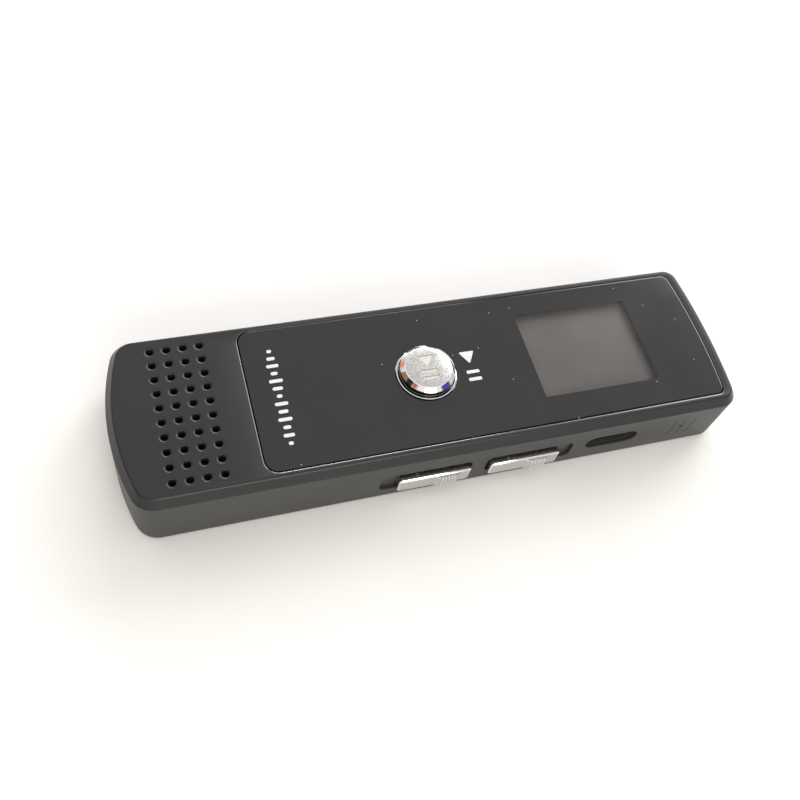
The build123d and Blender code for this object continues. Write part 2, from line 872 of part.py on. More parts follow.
def make_speaker_cone():
    """A domed oblong sheet inside the frame."""
    length = speaker_length - 2 * speaker_frame_rim
    width = speaker_width - 2 * speaker_frame_rim
    foot = speaker_top - cone_rise - 2 * cone_sheet
    sheet = rounded_slab(grille_x, 0, length, width, speaker_corner, foot, foot + cone_sheet)
    rim = length / 5
    low = RectangleRounded(length - rim, width - rim, speaker_corner)
    high = RectangleRounded(length - 2 * rim, width - 2 * rim, speaker_corner)
    place = Pos(grille_x, 0, foot + cone_sheet)
    dome = loft([place * low, place * Pos(0, 0, cone_rise) * high], ruled=True)
    place = Pos(grille_x, 0, foot)
    hollow_low = RectangleRounded(length - rim - 2 * cone_sheet, width - rim - 2 * cone_sheet,
                                  speaker_corner - cone_sheet)
    hollow_high = RectangleRounded(length - 2 * rim - 2 * cone_sheet,
                                   width - 2 * rim - 2 * cone_sheet,
                                   speaker_corner - cone_sheet)
    hollow = loft([place * hollow_low, place * Pos(0, 0, cone_rise) * hollow_high], ruled=True)
    return (sheet + dome) - hollow


def make_speaker_magnet():
    return rounded_slab(
        grille_x, 0, speaker_magnet_length, speaker_magnet_width, least_corner,
        magnet_bottom, speaker_frame_bottom,
    )


def make_speaker_leads():
    start_x = grille_x + speaker_length / 2
    drop_x = start_x + speaker_lead_reach
    z = speaker_frame_bottom + speaker_frame_height / 3
    return [
        lead([(start_x, y, z), (drop_x, y, z), (drop_x, y, board_top)])
        for y in (-lead_pitch / 2, lead_pitch / 2)
    ]


# ---------------------------------------------------------------- write every node
record_knob_x = knob_centre(record_slot_from_speaker_end, 1)
power_knob_x = knob_centre(power_slot_from_speaker_end, -1)

nodes = {
    "top_cover": make_top_cover(),
    "bottom_case": make_bottom_case(),
    "case_screws": make_case_screws(),
    "lens_panel": make_lens_panel(),
    "lens_adhesive": make_lens_adhesive(),
    "display_gasket": make_display_gasket(),
    "display_glass": make_display_glass(),
    "display_backlight": make_display_backlight(),
    "display_cushion": make_display_cushion(),
    "display_flex": make_display_flex(),
    "flex_connector": make_flex_connector(),
    "button_ring": make_button_ring(),
    "play_button": make_play_button(),
    "push_switch_body": make_push_switch_body(),
    "push_switch_plunger": make_push_switch_plunger(),
    "push_switch_dome": make_push_switch_dome(),
    "record_knob": make_knob(record_knob_x),
    "record_carrier": make_carrier(record_knob_x),
    "record_switch_lever": make_slider_lever(record_knob_x),
    "record_switch_body": make_slider_body(record_slot_from_speaker_end),
    "power_knob": make_knob(power_knob_x),
    "power_carrier": make_carrier(power_knob_x),
    "power_switch_lever": make_slider_lever(power_knob_x),
    "power_switch_body": make_slider_body(power_slot_from_speaker_end),
    "circuit_board": make_circuit_board(),
    "main_processor": make_main_processor(),
    "flash_memory": make_flash_memory(),
    "audio_amplifier": make_audio_amplifier(),
    "clock_crystal": make_clock_crystal(),
    "voltage_regulator": make_voltage_regulator(),
    "chip_capacitors": make_chip_capacitors(),
    "port_shell": make_port_shell(),
    "port_tongue": make_port_tongue(),
    "microphone_boot": make_microphone_boot(),
    "microphone_capsule": make_microphone_capsule(),
    "battery_cell": make_battery_cell(),
    "battery_tape": make_battery_tape(),
    "battery_guard_board": make_battery_guard_board(),
    "battery_leads": make_battery_leads(),
    "speaker_mesh": make_speaker_mesh(),
    "speaker_gasket": make_speaker_gasket(),
    "speaker_frame": make_speaker_frame(),
    "speaker_cone": make_speaker_cone(),
    "speaker_magnet": make_speaker_magnet(),
    "speaker_leads": make_speaker_leads(),
}

os.makedirs("parts", exist_ok=True)
for name, shape in nodes.items():
    if isinstance(shape, list):
        shape = Compound(children=shape)
    export_step(shape, f"parts/{name}.step")
    size = shape.bounding_box().size
    print(f"{name}: {shape.volume:.2f} mm3, {size.X:.2f} x {size.Y:.2f} x {size.Z:.2f}")
print(f"knob travel {knob_travel:.2f}, button travel {button_travel:.2f}")
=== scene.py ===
# %% [markdown]
# # A pocket voice recorder
# The object is a flat oblong of blasted black metal: a cover with a sloped edge on a shallow tub, a dark
# lens over the display, a round play button, and two bright slide knobs on one long side. Everything that
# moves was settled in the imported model, so this script only gives the pieces their fine shapes and finishes.

# %% Load the frame
from collections import namedtuple
from math import asin, cos, pi, radians, sin, sqrt

import bmesh
import bpy
from mathutils import Matrix, Quaternion, Vector


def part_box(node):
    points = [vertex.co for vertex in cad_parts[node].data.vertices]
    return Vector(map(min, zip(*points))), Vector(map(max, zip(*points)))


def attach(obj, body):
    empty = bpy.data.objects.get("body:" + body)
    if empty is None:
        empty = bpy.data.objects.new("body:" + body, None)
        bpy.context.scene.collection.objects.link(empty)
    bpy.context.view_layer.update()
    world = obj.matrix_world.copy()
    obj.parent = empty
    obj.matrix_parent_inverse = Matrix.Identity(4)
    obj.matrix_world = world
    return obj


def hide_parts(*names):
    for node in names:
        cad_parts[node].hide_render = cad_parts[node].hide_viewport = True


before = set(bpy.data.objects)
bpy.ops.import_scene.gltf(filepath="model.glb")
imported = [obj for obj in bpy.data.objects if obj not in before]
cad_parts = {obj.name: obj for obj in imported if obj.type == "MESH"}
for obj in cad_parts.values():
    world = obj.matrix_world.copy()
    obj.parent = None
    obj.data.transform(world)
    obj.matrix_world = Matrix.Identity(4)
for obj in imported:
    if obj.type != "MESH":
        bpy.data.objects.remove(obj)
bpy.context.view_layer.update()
scene = bpy.context.scene

# %% [markdown]
# The features here are tenths of a millimetre across, and Blender's fills and bevels lose precision on
# numbers that small. So each mesh is drawn in millimetres, and scaled to metres when it is finished.

# %% Millimetres
mm = 0.001


def node_box(name):
    """A CAD node's lowest and highest corners, in millimetres."""
    low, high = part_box(name)
    return low / mm, high / mm


case_low, case_high = node_box("bottom_case")
cover_low, cover_high = node_box("top_cover")
parting = case_high.z
top = cover_high.z
case_size = case_high - case_low
print("case", round(case_size.x, 2), "x", round(case_size.y, 2), "top", round(top, 2))

# %% [markdown]
# ## The camera
# The camera comes first, so that every later look is from the right place. It is described in plain
# terms: what it aims at, from which side and how high, how far away, and how it is tilted.

# %% Camera
aim = Vector((-6.8, -3.75, top)) * mm
azimuth, elevation, roll = radians(30.36), radians(57.65), radians(17.04)
distance = 132.3 * mm
lens_length = 41.06

toward = Vector((-sin(azimuth) * cos(elevation), -cos(azimuth) * cos(elevation), sin(elevation)))
camera = bpy.data.objects.new("camera", bpy.data.cameras.new("camera"))
scene.collection.objects.link(camera)
camera.location = aim + toward * distance
camera.rotation_mode = "QUATERNION"
camera.rotation_quaternion = (-toward).to_track_quat("-Z", "Y") @ Quaternion((0, 0, 1), roll)
camera.data.lens = lens_length
camera.data.clip_start, camera.data.clip_end = 0.005, 20.0
scene.camera = camera
print("camera at", [round(v, 4) for v in camera.location])

# %% [markdown]
# ## Light and floor
# Black metal shows almost nothing but what it reflects, so the room matters more than the lamps: a pale
# floor, a bright ceiling, and a darker band round the horizon that draws edges on the bright plating.

# %% Shader wiring
class Wire:
    """A shader socket that Python's operators work on; each operator adds its Math node."""

    def __init__(self, tree, socket=None):
        self.tree = tree
        self.socket = socket

    def node(self, kind, settings=(), output=0, **inputs):
        """Add any node: its settings first, then the values or links of its sockets."""
        node = self.tree.nodes.new(kind)
        for name, value in dict(settings).items():
            if name == "stops":
                for stop, (place, colour) in zip(ramp_stops(node, len(value)), value):
                    stop.position = place
                    stop.color = colour
            else:
                setattr(node, name, value)
        for name, value in inputs.items():
            slot = int(name[1:]) if name[0] == "_" else name.replace("_", " ")
            socket = node.inputs[slot]
            if isinstance(value, Wire):
                self.tree.links.new(value.socket, socket)
            else:
                socket.default_value = value
        return Wire(self.tree, node.outputs[output] if node.outputs else None)

    def maths(self, operation, *values):
        named = {f"_{place}": value for place, value in enumerate(values)}
        return self.node("ShaderNodeMath", {"operation": operation}, **named)

    def __add__(self, other):
        return self.maths("ADD", self, other)

    def __rsub__(self, other):
        return self.maths("SUBTRACT", other, self)

    def __mul__(self, other):
        return self.maths("MULTIPLY", self, other)

    __radd__ = __add__
    __rmul__ = __mul__

    def __lt__(self, other):
        return self.maths("LESS_THAN", self, other)

    def __gt__(self, other):
        return self.maths("GREATER_THAN", self, other)


def ramp_stops(node, count):
    """A colour ramp's stops, made up to count."""
    stops = node.color_ramp.elements
    while len(stops) < count:
        stops.new(0.5)
    return stops


def grey(value):
    return (value, value, value, 1.0)


def over(wire, factor, below, above):
    """Lay one colour over another where factor says."""
    return wire.node("ShaderNodeMix", {"data_type": "RGBA"}, output=2, _0=factor, _6=below, _7=above)


print("wiring ready")

# %% Room and lamps
world = bpy.data.worlds.new("room")
scene.world = world
world.use_nodes = True
world.node_tree.nodes.clear()
room = Wire(world.node_tree)
direction = room.node("ShaderNodeTexCoord", output=0)
height = room.node("ShaderNodeSeparateXYZ", output=2, Vector=direction)
walls = room.node(
    "ShaderNodeValToRGB",
    {"stops": [(0.0, grey(0.8)), (0.06, grey(0.62)), (0.3, grey(0.78)), (0.62, grey(0.98))]},
    Fac=height,
)
# Each patch is a thing in the room that bright plating mirrors: where it is, how wide, and its colour.
patches = [
    ((-0.96, 0.05, 0.18), 32, (0.22, 0.22, 0.22, 1.0)),
    ((-0.20, -0.96, 0.10), 34, (1.0, 0.98, 0.94, 1.0)),
    ((0.84, -0.52, 0.08), 26, (0.75, 0.75, 0.75, 1.0)),
    ((-0.56, 0.80, 0.22), 9, (0.85, 0.33, 0.13, 1.0)),
    ((-0.83, 0.28, 0.48), 11, (0.42, 0.19, 0.10, 1.0)),
    ((-0.79, -0.12, 0.60), 12, (0.03, 0.03, 0.035, 1.0)),
    ((-0.65, -0.40, 0.65), 7, (0.55, 0.10, 0.08, 1.0)),
    ((0.79, -0.46, 0.41), 15, (0.09, 0.08, 0.42, 1.0)),
]
for centre, half_angle, colour in patches:
    along = room.node(
        "ShaderNodeVectorMath", {"operation": "DOT_PRODUCT"}, output=1, _0=direction, _1=centre
    )
    edge = cos(radians(half_angle))
    inside = room.node("ShaderNodeMapRange", Value=along, _1=edge - 0.01, _2=edge + 0.01)
    walls = over(room, inside, walls, colour)
background = room.node("ShaderNodeBackground", Color=walls, Strength=1.0)
room.node("ShaderNodeOutputWorld", Surface=background)


def add_lamp(name, place, size, depth, power, colour):
    """A soft lamp of size by depth that looks at the object's middle from a place in metres."""
    data = bpy.data.lights.new(name, "AREA")
    data.shape = "RECTANGLE"
    data.size = size
    data.size_y = depth
    data.energy = power
    data.color = colour
    lamp = bpy.data.objects.new(name, data)
    scene.collection.objects.link(lamp)
    lamp.location = place
    lamp.rotation_euler = (-Vector(place)).to_track_quat("-Z", "Y").to_euler()


add_lamp("window_light", (0.68, 0.53, 0.5), 0.56, 0.42, 4.6, (1.0, 0.99, 0.98))
add_lamp("back_strip", (0.22, 0.9, 0.5), 0.36, 0.12, 2.4, (1.0, 1.0, 1.0))
add_lamp("warm_fill", (0.06, -0.94, 0.55), 0.66, 0.5, 4.8, (1.0, 0.93, 0.76))
scene.view_settings.view_transform = "Standard"

# %% [markdown]
# ## Finishes
# Each finish is a function that returns a material. A finish is never one flat colour: blasted metal has a
# fine grain and slightly uneven gloss, plating has a faint ripple, and a moulding has its texture.

# %% Helpers for finishes
def new_material(name, **constants):
    """A material with one Principled shader, its plain values set, and a wire to build on."""
    material = bpy.data.materials.new(name)
    material.use_nodes = True
    tree = material.node_tree
    shader = tree.nodes["Principled BSDF"]
    for key, value in constants.items():
        shader.inputs[key.replace("_", " ")].default_value = value
    wire = Wire(tree)
    return material, shader, wire


def feed(wire, shader, name, value):
    wire.tree.links.new(value.socket, shader.inputs[name])


def object_place(wire):
    return wire.node("ShaderNodeTexCoord", output=3)


def grain(wire, scale, detail=2.0, stretch=(1, 1, 1)):
    """Noise on the piece's own coordinates; scale is in grains per metre."""
    place = wire.node("ShaderNodeMapping", Vector=object_place(wire), Scale=stretch)
    return wire.node("ShaderNodeTexNoise", Vector=place, Scale=scale, Detail=detail)


def spread(wire, value, low, high):
    """Carry a 0-1 value to low-high."""
    return wire.node("ShaderNodeMapRange", Value=value, _1=0.3, _2=0.7, _3=low, _4=high)


def two_tone(wire, value, dark, light):
    return wire.node("ShaderNodeValToRGB", {"stops": [(0.35, dark), (0.65, light)]}, Fac=value)


def roughen(wire, shader, height, depth):
    """Give the surface real relief of that depth, in metres."""
    bump = wire.node("ShaderNodeBump", Height=height, Strength=1.0, Distance=depth)
    feed(wire, shader, "Normal", bump)

# %% [markdown]
# The shells are blasted, the bright parts are plated, and the rest is moulded, printed or clear.

# %% The outside finishes
def blasted(name, dark, light, gloss_low, gloss_high, ior, grain_depth=1.6e-6):
    """Fine blasted and dyed metal: tiny pits, and a gloss that drifts over the surface."""
    material, shader, wire = new_material(name, IOR=ior)
    pits = grain(wire, 9000, 3.0)
    drift = grain(wire, 90, 2.0)
    feed(wire, shader, "Base Color", two_tone(wire, pits, dark, light))
    feed(wire, shader, "Roughness", spread(wire, drift, gloss_low, gloss_high))
    roughen(wire, shader, pits, grain_depth)
    return material


def plated(name, colour, gloss_low, gloss_high, ripple_depth, stretch=(1, 1, 1)):
    """Polished plating: a mirror with a faint ripple and hair-fine uneven gloss."""
    material, shader, wire = new_material(name, Metallic=1.0)
    ripple = grain(wire, 700, 2.0, stretch)
    haze = grain(wire, 4500, 3.0, stretch)
    light = tuple(min(1.0, 1.06 * c) for c in colour[:3]) + (1.0,)
    feed(wire, shader, "Base Color", two_tone(wire, haze, colour, light))
    feed(wire, shader, "Roughness", spread(wire, haze, gloss_low, gloss_high))
    roughen(wire, shader, ripple, ripple_depth)
    return material


def moulded(name, dark, light, gloss=0.5, texture=5000, depth=1.5e-6):
    """Moulded plastic, rubber or a painted block: soft colour drift and a fine texture."""
    material, shader, wire = new_material(name, IOR=1.46)
    fine = grain(wire, texture, 2.0)
    drift = grain(wire, 300, 3.0)
    feed(wire, shader, "Base Color", two_tone(wire, drift, dark, light))
    feed(wire, shader, "Roughness", spread(wire, fine, gloss - 0.08, gloss + 0.08))
    roughen(wire, shader, fine, depth)
    return material


def lens_finish():
    """Clear sheet printed black behind: nearly black, glossy, faintly hazy, with a few specks of dust."""
    material, shader, wire = new_material("lens_black", IOR=1.49)
    haze = grain(wire, 140, 3.0)
    grit = grain(wire, 2600, 2.0)
    dust_at = object_place(wire)
    flat = {"feature": "F1", "voronoi_dimensions": "2D"}
    nearness = wire.node("ShaderNodeTexVoronoi", flat, Vector=dust_at, Scale=260.0)
    chosen = wire.node("ShaderNodeTexVoronoi", flat, output=1, Vector=dust_at, Scale=260.0)
    rarity = wire.node("ShaderNodeSeparateColor", Color=chosen)
    speck_size, speck_rarity = 0.022, 0.82
    speck = (nearness < speck_size) * (rarity > speck_rarity)
    ground = two_tone(wire, haze, (0.012, 0.012, 0.013, 1), (0.014, 0.014, 0.015, 1))
    feed(wire, shader, "Base Color", over(wire, speck, ground, (0.4, 0.39, 0.36, 1)))
    feed(wire, shader, "Roughness", spread(wire, haze, 0.09, 0.12))
    roughen(wire, shader, grit, 0.1e-6)
    return material


def window_finish():
    """The unprinted part of the sheet: a grey smoke that the display shows through."""
    material, shader, wire = new_material("window_smoke", IOR=1.49, Alpha=0.3)
    haze = grain(wire, 140, 3.0)
    feed(wire, shader, "Base Color", two_tone(wire, haze, grey(0.03), grey(0.045)))
    feed(wire, shader, "Roughness", spread(wire, haze, 0.12, 0.2))
    return material


def ink_finish():
    """Screen-printed ink: off-white, matt, and a little uneven."""
    material, shader, wire = new_material("ink_white", IOR=1.45)
    patch = grain(wire, 5200, 3.0)
    feed(wire, shader, "Base Color", two_tone(wire, patch, grey(0.62), grey(0.74)))
    feed(wire, shader, "Roughness", spread(wire, patch, 0.5, 0.65))
    roughen(wire, shader, patch, 1.0e-6)
    return material


def satin_finish():
    """Satin plating with a coarse sparkle, each facet turned a little its own way."""
    material, shader, wire = new_material("cap_satin", Metallic=1.0)
    place = object_place(wire)
    facets = wire.node("ShaderNodeTexVoronoi", {"feature": "F1"}, output=1, Vector=place, Scale=8500.0)
    sparkle = wire.node("ShaderNodeSeparateColor", Color=facets)
    fine = grain(wire, 14000, 2.0)
    plate = two_tone(wire, sparkle, (0.45, 0.44, 0.43, 1.0), (0.62, 0.605, 0.59, 1.0))
    feed(wire, shader, "Base Color", plate)
    feed(wire, shader, "Roughness", spread(wire, sparkle, 0.24, 0.31))
    roughen(wire, shader, sparkle * 0.6 + fine * 0.4, 2.2e-6)
    return material


cover_black = blasted(
    "blasted_black_cover", (0.013, 0.013, 0.015, 1), (0.019, 0.019, 0.021, 1), 0.3, 0.36, 1.42
)
# The tub's side walls are the same blasted black as the cover, but their base colour is painted nearly three
# times lighter: painted light, standing in for what the walls reflect from the pale table.
case_black_painted_lighter = blasted("blasted_black_case_painted_lighter", grey(0.036), grey(0.052), 0.38, 0.46, 1.36)
# The rim slope's metal finish, more reflective than the black cover, is a painted sheen standing in for the
# highlight along the lens recess's rim.
rim_painted_sheen = plated("rim_painted_sheen", (0.09, 0.09, 0.093, 1.0), 0.14, 0.2, 1.0e-6)
knob_plating = plated("knob_plating", (0.58, 0.575, 0.57, 1.0), 0.2, 0.28, 1.6e-6)
ring_plating = plated("ring_plating", (0.82, 0.81, 0.8, 1.0), 0.04, 0.1, 1.0e-6)
print("finishes", len(bpy.data.materials))

# %% [markdown]
# ## Drawing in plan
# The case is a rectangle whose ends bow outwards and whose corners are round. Each plan outline is half
# drawn with spun arcs and then mirrored, and an inset makes a parallel outline with smaller radii, so that
# a stack of them can be bridged into walls, slopes and rounded edges.

# %% Plan outlines
Plan = namedtuple("Plan", "left right half left_bow right_bow left_corner right_corner")
least_corner = 0.4
corner_steps, bow_steps = 8, 22


def spun(bm, start, centre, angle, steps):
    """Carry a vertex round an upright axis through centre, drawing an arc of edges."""
    made = bmesh.ops.spin(
        bm, geom=[start], cent=(*centre, start.co.z), axis=(0, 0, 1),
        angle=angle, steps=steps, use_merge=False, use_duplicate=False,
    )
    return next(item for item in made["geom_last"] if isinstance(item, bmesh.types.BMVert))


def ruled(bm, start, place):
    """Draw a straight edge from a vertex to a place."""
    end = bm.verts.new((*place, start.co.z))
    bm.edges.new((start, end))
    return end


def end_geometry(end_x, sign, bow, corner, half):
    """The bow's centre, the corner's centre and the angle where they meet, for one end."""
    bow_centre = end_x - sign * bow
    reach = sqrt((bow - corner) ** 2 - (half - corner) ** 2)
    angle = asin((half - corner) / (bow - corner))
    return (bow_centre, 0.0), (bow_centre + sign * reach, half - corner), angle


def new_edges(bm, before):
    """The edges made since before."""
    return [edge for edge in bm.edges if edge not in before]


def plan_loop(bm, plan, inset, z):
    """A closed loop of edges along a plan outline, moved in by inset, at height z."""
    before = set(bm.edges)
    half = plan.half - inset
    left, right = plan.left + inset, plan.right - inset
    left_corner = max(plan.left_corner - inset, least_corner)
    right_corner = max(plan.right_corner - inset, least_corner)
    point = bm.verts.new((left, 0.0, z))
    if plan.left_bow:
        bow_at, corner_at, angle = end_geometry(left, -1, plan.left_bow - inset, left_corner, half)
        point = spun(bm, point, bow_at, -angle, bow_steps)
        point = spun(bm, point, corner_at, angle - pi / 2, corner_steps)
    else:
        point = ruled(bm, point, (left, half - left_corner))
        point = spun(bm, point, (left + left_corner, half - left_corner), -pi / 2, corner_steps)
    bow_at, corner_at, angle = end_geometry(right, 1, plan.right_bow - inset, right_corner, half)
    point = ruled(bm, point, (corner_at[0], half))
    point = spun(bm, point, corner_at, angle - pi / 2, corner_steps)
    spun(bm, point, bow_at, -angle, bow_steps)
    drawn = new_edges(bm, before)
    verts = list({vert for edge in drawn for vert in edge.verts})
    bmesh.ops.mirror(bm, geom=verts + drawn, axis="Y", merge_dist=0.001)
    return new_edges(bm, before)

# %% [markdown]
# With the outlines drawn, a few small helpers bridge, fill and extrude loops, and put a piece in the scene.

# %% Loops and pieces
def paint(bm, known):
    """Give the faces made since known the piece's second finish."""
    for face in set(bm.faces) - known:
        face.material_index = 1


def skin(bm, loops):
    """Bridge each loop to the next."""
    for near, far in zip(loops, loops[1:]):
        bmesh.ops.bridge_loops(bm, edges=near + far)


def stack(bm, plan, levels):
    """Skin a pile of outlines, each given as its inset and its height, and return their loops."""
    loops = [plan_loop(bm, plan, inset, z) for inset, z in levels]
    skin(bm, loops)
    return loops


def fill(bm, *loops):
    """Close a flat region bounded by one outer loop and any number of holes."""
    edges = [edge for loop in loops for edge in loop]
    bmesh.ops.triangle_fill(bm, use_beauty=True, use_dissolve=False, edges=edges)


def pull(bm, edges, move=(0, 0, 0), grow=(1, 1, 1)):
    """Extrude a loop of edges, shift it, and scale it about its own middle."""
    made = bmesh.ops.extrude_edge_only(bm, edges=edges)["geom"]
    verts = [item for item in made if isinstance(item, bmesh.types.BMVert)]
    fresh = set(verts)
    middle = sum((vert.co for vert in verts), Vector()) / len(verts)
    bmesh.ops.scale(bm, vec=grow, space=Matrix.Translation(-middle), verts=verts)
    bmesh.ops.translate(bm, vec=move, verts=verts)
    return [
        item for item in made
        if isinstance(item, bmesh.types.BMEdge) and fresh.issuperset(item.verts)
    ]


def circle(bm, x, y, z, radius, segments):
    """A closed loop of edges round an upright axis."""
    before = set(bm.edges)
    bmesh.ops.create_circle(
        bm, cap_ends=False, segments=segments, radius=radius, matrix=Matrix.Translation((x, y, z))
    )
    return new_edges(bm, before)


def rounded_loop(bm, length, height, corner, matrix, steps=6):
    """A closed loop round a rectangle with round corners, placed by matrix."""
    before = set(bm.edges)
    faces = set(bm.faces)
    made = bmesh.ops.create_grid(bm, x_segments=1, y_segments=1, size=0.5)["verts"]
    bmesh.ops.scale(bm, vec=(length, height, 1), verts=made)
    bmesh.ops.bevel(
        bm, geom=made, offset=corner, offset_type="OFFSET", segments=steps, profile=0.5,
        affect="VERTICES", material=-1,
    )
    patch = [face for face in bm.faces if face not in faces]
    verts = list({vert for face in patch for vert in face.verts})
    bmesh.ops.transform(bm, matrix=matrix, verts=verts)
    bmesh.ops.delete(bm, geom=patch, context="FACES_ONLY")
    return new_edges(bm, before)


def finish_piece(name, bm, body, materials, replaces=(), sharp=35.0):
    """Weld, point the faces outwards, scale to metres, and put the piece in the scene."""
    bmesh.ops.remove_doubles(bm, verts=bm.verts, dist=0.002)
    bmesh.ops.recalc_face_normals(bm, faces=bm.faces)
    bmesh.ops.scale(bm, vec=(mm, mm, mm), verts=bm.verts)
    open_edges = sum(1 for edge in bm.edges if not edge.is_manifold)
    mesh = bpy.data.meshes.new(name)
    bm.to_mesh(mesh)
    bm.free()
    mesh.shade_smooth()
    mesh.set_sharp_from_angle(angle=radians(sharp))
    for material in materials:
        mesh.materials.append(material)
    piece = bpy.data.objects.new(name, mesh)
    scene.collection.objects.link(piece)
    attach(piece, body)
    if replaces:
        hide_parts(*replaces)
    print(name, "faces", len(mesh.polygons), "open edges", open_edges)


case_plan = Plan(cover_low.x, cover_high.x, cover_high.y, 37.4, 106.0, 3.4, 2.8)
lens_low, lens_high = node_box("lens_panel")
lens_plan = Plan(lens_low.x, lens_high.x, lens_high.y, 0.0, 103.5, 1.9, 1.4)
print("plans", case_plan, lens_plan)

# %% [markdown]
# ## The cover
# The cover is a machined plate: a sloped edge all round, a shallow recess for the lens whose rim slope carries
# a narrow painted sheen (a metal finish brighter than the black, standing in for the highlight along the rim),
# forty small flared speaker holes, and openings for the display and the button. It is skinned from stacked
# outlines, and the flat faces are filled between the outline and the loops of the holes.

# %% Cover
slope_run, slope_rise = 0.95, top - parting
seam_gap = 0.05
recess_gap = 0.12
rim_cut = 0.26
cover_inset = 1.5
lip_thickness, lip_height = 0.8, 1.4
grille_low, grille_high = node_box("speaker_mesh")
grille_x = (grille_low.x + grille_high.x) / 2
grille_columns, grille_rows, grille_pitch = 4, 10, 2.33
flare = [
    (0.92, 0.0), (0.87, 0.0), (0.81, 0.014), (0.7, 0.047), (0.61, 0.074), (0.55, 0.12), (0.5, 0.22),
    (0.49, 0.34),
]
recess_floor = node_box("lens_adhesive")[0].z
cover_underside = node_box("speaker_mesh")[1].z
button_low, button_high = node_box("play_button")
button_x = (button_low.x + button_high.x) / 2
ring_low, ring_high = node_box("button_ring")
ring_foot_radius = (ring_high.x - ring_low.x) / 2
glass_low, glass_high = node_box("display_glass")
display_fit = 0.2
screw_low, screw_high = node_box("case_screws")
head_radius = 1.35
post_radius, thread_radius = 1.7, 0.82
post_foot = node_box("circuit_board")[0].z
screw_places = [
    (x, y)
    for x in (screw_low.x + head_radius, screw_high.x - head_radius)
    for y in (screw_low.y + head_radius, screw_high.y - head_radius)
]


def resized(old, new):
    """How much to scale an upright loop by to take it from one radius to another."""
    return (new / old, new / old, 1)


def display_loop(bm, z):
    """The cover's opening round the display glass."""
    length = glass_high.x - glass_low.x + 2 * display_fit
    width = glass_high.y - glass_low.y + 2 * display_fit
    place = Matrix.Translation(((glass_low.x + glass_high.x) / 2, (glass_low.y + glass_high.y) / 2, z))
    return rounded_loop(bm, length, width, 0.5, place)


def speaker_hole(bm, mouth):
    """Carry one hole's mouth down its rounded flare and through to the underside."""
    for (radius, depth), (next_radius, next_depth) in zip(flare, flare[1:]):
        mouth = pull(bm, mouth, (0, 0, depth - next_depth), resized(radius, next_radius))
    return pull(bm, mouth, (0, 0, cover_underside - top + flare[-1][1]))

# %% [markdown]
# From the top edge inwards: the slope, the flat face, the speaker holes, the rim, and the recess.

# %% The cover itself
def build_cover():
    bm = bmesh.new()
    outer = stack(bm, case_plan, [
        (seam_gap, parting),
        (0.0, parting + seam_gap),
        (slope_run * 0.1, parting + slope_rise * 0.12),
        (slope_run * 0.8, parting + slope_rise * 0.8),
        (slope_run * 0.9, top - slope_rise * 0.1),
        (slope_run + 0.01, top - 0.055),
        (slope_run + 0.09, top - 0.012),
        (slope_run + 0.19, top),
        (slope_run + 0.3, top),
    ])
    rim = plan_loop(bm, lens_plan, -recess_gap - rim_cut, top)
    mouths = [
        circle(bm, grille_x + (column - 1.5) * grille_pitch, (row - 4.5) * grille_pitch, top,
               flare[0][0], 20)
        for column in range(grille_columns)
        for row in range(grille_rows)
    ]
    fill(bm, outer[-1], rim, *mouths)
    hole_feet = [speaker_hole(bm, mouth) for mouth in mouths]
    known = set(bm.faces)
    rim_brow = plan_loop(bm, lens_plan, -recess_gap - rim_cut * 0.35, top - rim_cut * 0.25)
    rim_foot = plan_loop(bm, lens_plan, -recess_gap, top - rim_cut * 0.8)
    skin(bm, [rim, rim_brow, rim_foot])
    # The rim slope takes the painted sheen finish.
    paint(bm, known)
    floor_edge = pull(bm, rim_foot, (0, 0, recess_floor - top + rim_cut * 0.8))
    window = display_loop(bm, recess_floor)
    socket = circle(bm, button_x, 0, recess_floor, ring_foot_radius, 64)
    fill(bm, floor_edge, window, socket)
    window_foot = pull(bm, window, (0, 0, cover_underside - recess_floor))
    socket_foot = pull(bm, socket, (0, 0, cover_underside - recess_floor))
    under = stack(bm, case_plan, [
        (cover_inset, parting),
        (cover_inset, cover_underside - lip_height),
        (cover_inset + lip_thickness, cover_underside - lip_height),
        (cover_inset + lip_thickness, cover_underside),
    ])
    skin(bm, [outer[0], under[0]])
    posts = [circle(bm, x, y, cover_underside, post_radius, 32) for x, y in screw_places]
    fill(bm, under[-1], window_foot, socket_foot, *hole_feet, *posts)
    for post in posts:
        foot = pull(bm, post, (0, 0, post_foot - cover_underside))
        bore = pull(bm, foot, grow=resized(post_radius, thread_radius))
        fill(bm, pull(bm, bore, (0, 0, node_box("case_screws")[1].z - post_foot)))
    finish_piece(
        "cover", bm, "case", [cover_black, rim_painted_sheen], ["top_cover"], 30
    )


build_cover()

# %% [markdown]
# ## The lower case
# The tub is skinned the same way. Its front side carries everything that is used from the side, so that
# one flat face is taken out and filled again round the pockets, the port and the microphone grooves.

# %% Lower case
underside_bevel = 0.7
side_wall = 1.4
floor_thickness = 1.3
front = case_low.y
pocket_length, pocket_height, pocket_depth, pocket_corner = 14.1, 4.0, 0.6, 0.9
pocket_z = 4.45
neck_slot_length, neck_slot_height = 8.9, 2.0
port_length, port_height, port_lip = 8.8, 3.15, 0.35
shell_pocket_length = 9.24
groove_width, groove_length, groove_depth, groove_pitch = 0.7, 3.9, 0.06, 1.7
mic_hole = 0.5
soft_edge = 0.07
head_top = 1.15
well_radius, shank_radius = 1.5, 0.9
boss_radius = 2.2
rib_thickness, rib_length = 0.9, 9.0
magnet_low, magnet_high = node_box("speaker_magnet")
shell_low, shell_high = node_box("port_shell")
port_x, port_z = (shell_low.x + shell_high.x) / 2, (shell_low.z + shell_high.z) / 2
pocket_places = [
    (low.x + high.x) / 2 for low, high in (node_box("record_switch_body"), node_box("power_switch_body"))
]
boot_low, boot_high = node_box("microphone_boot")
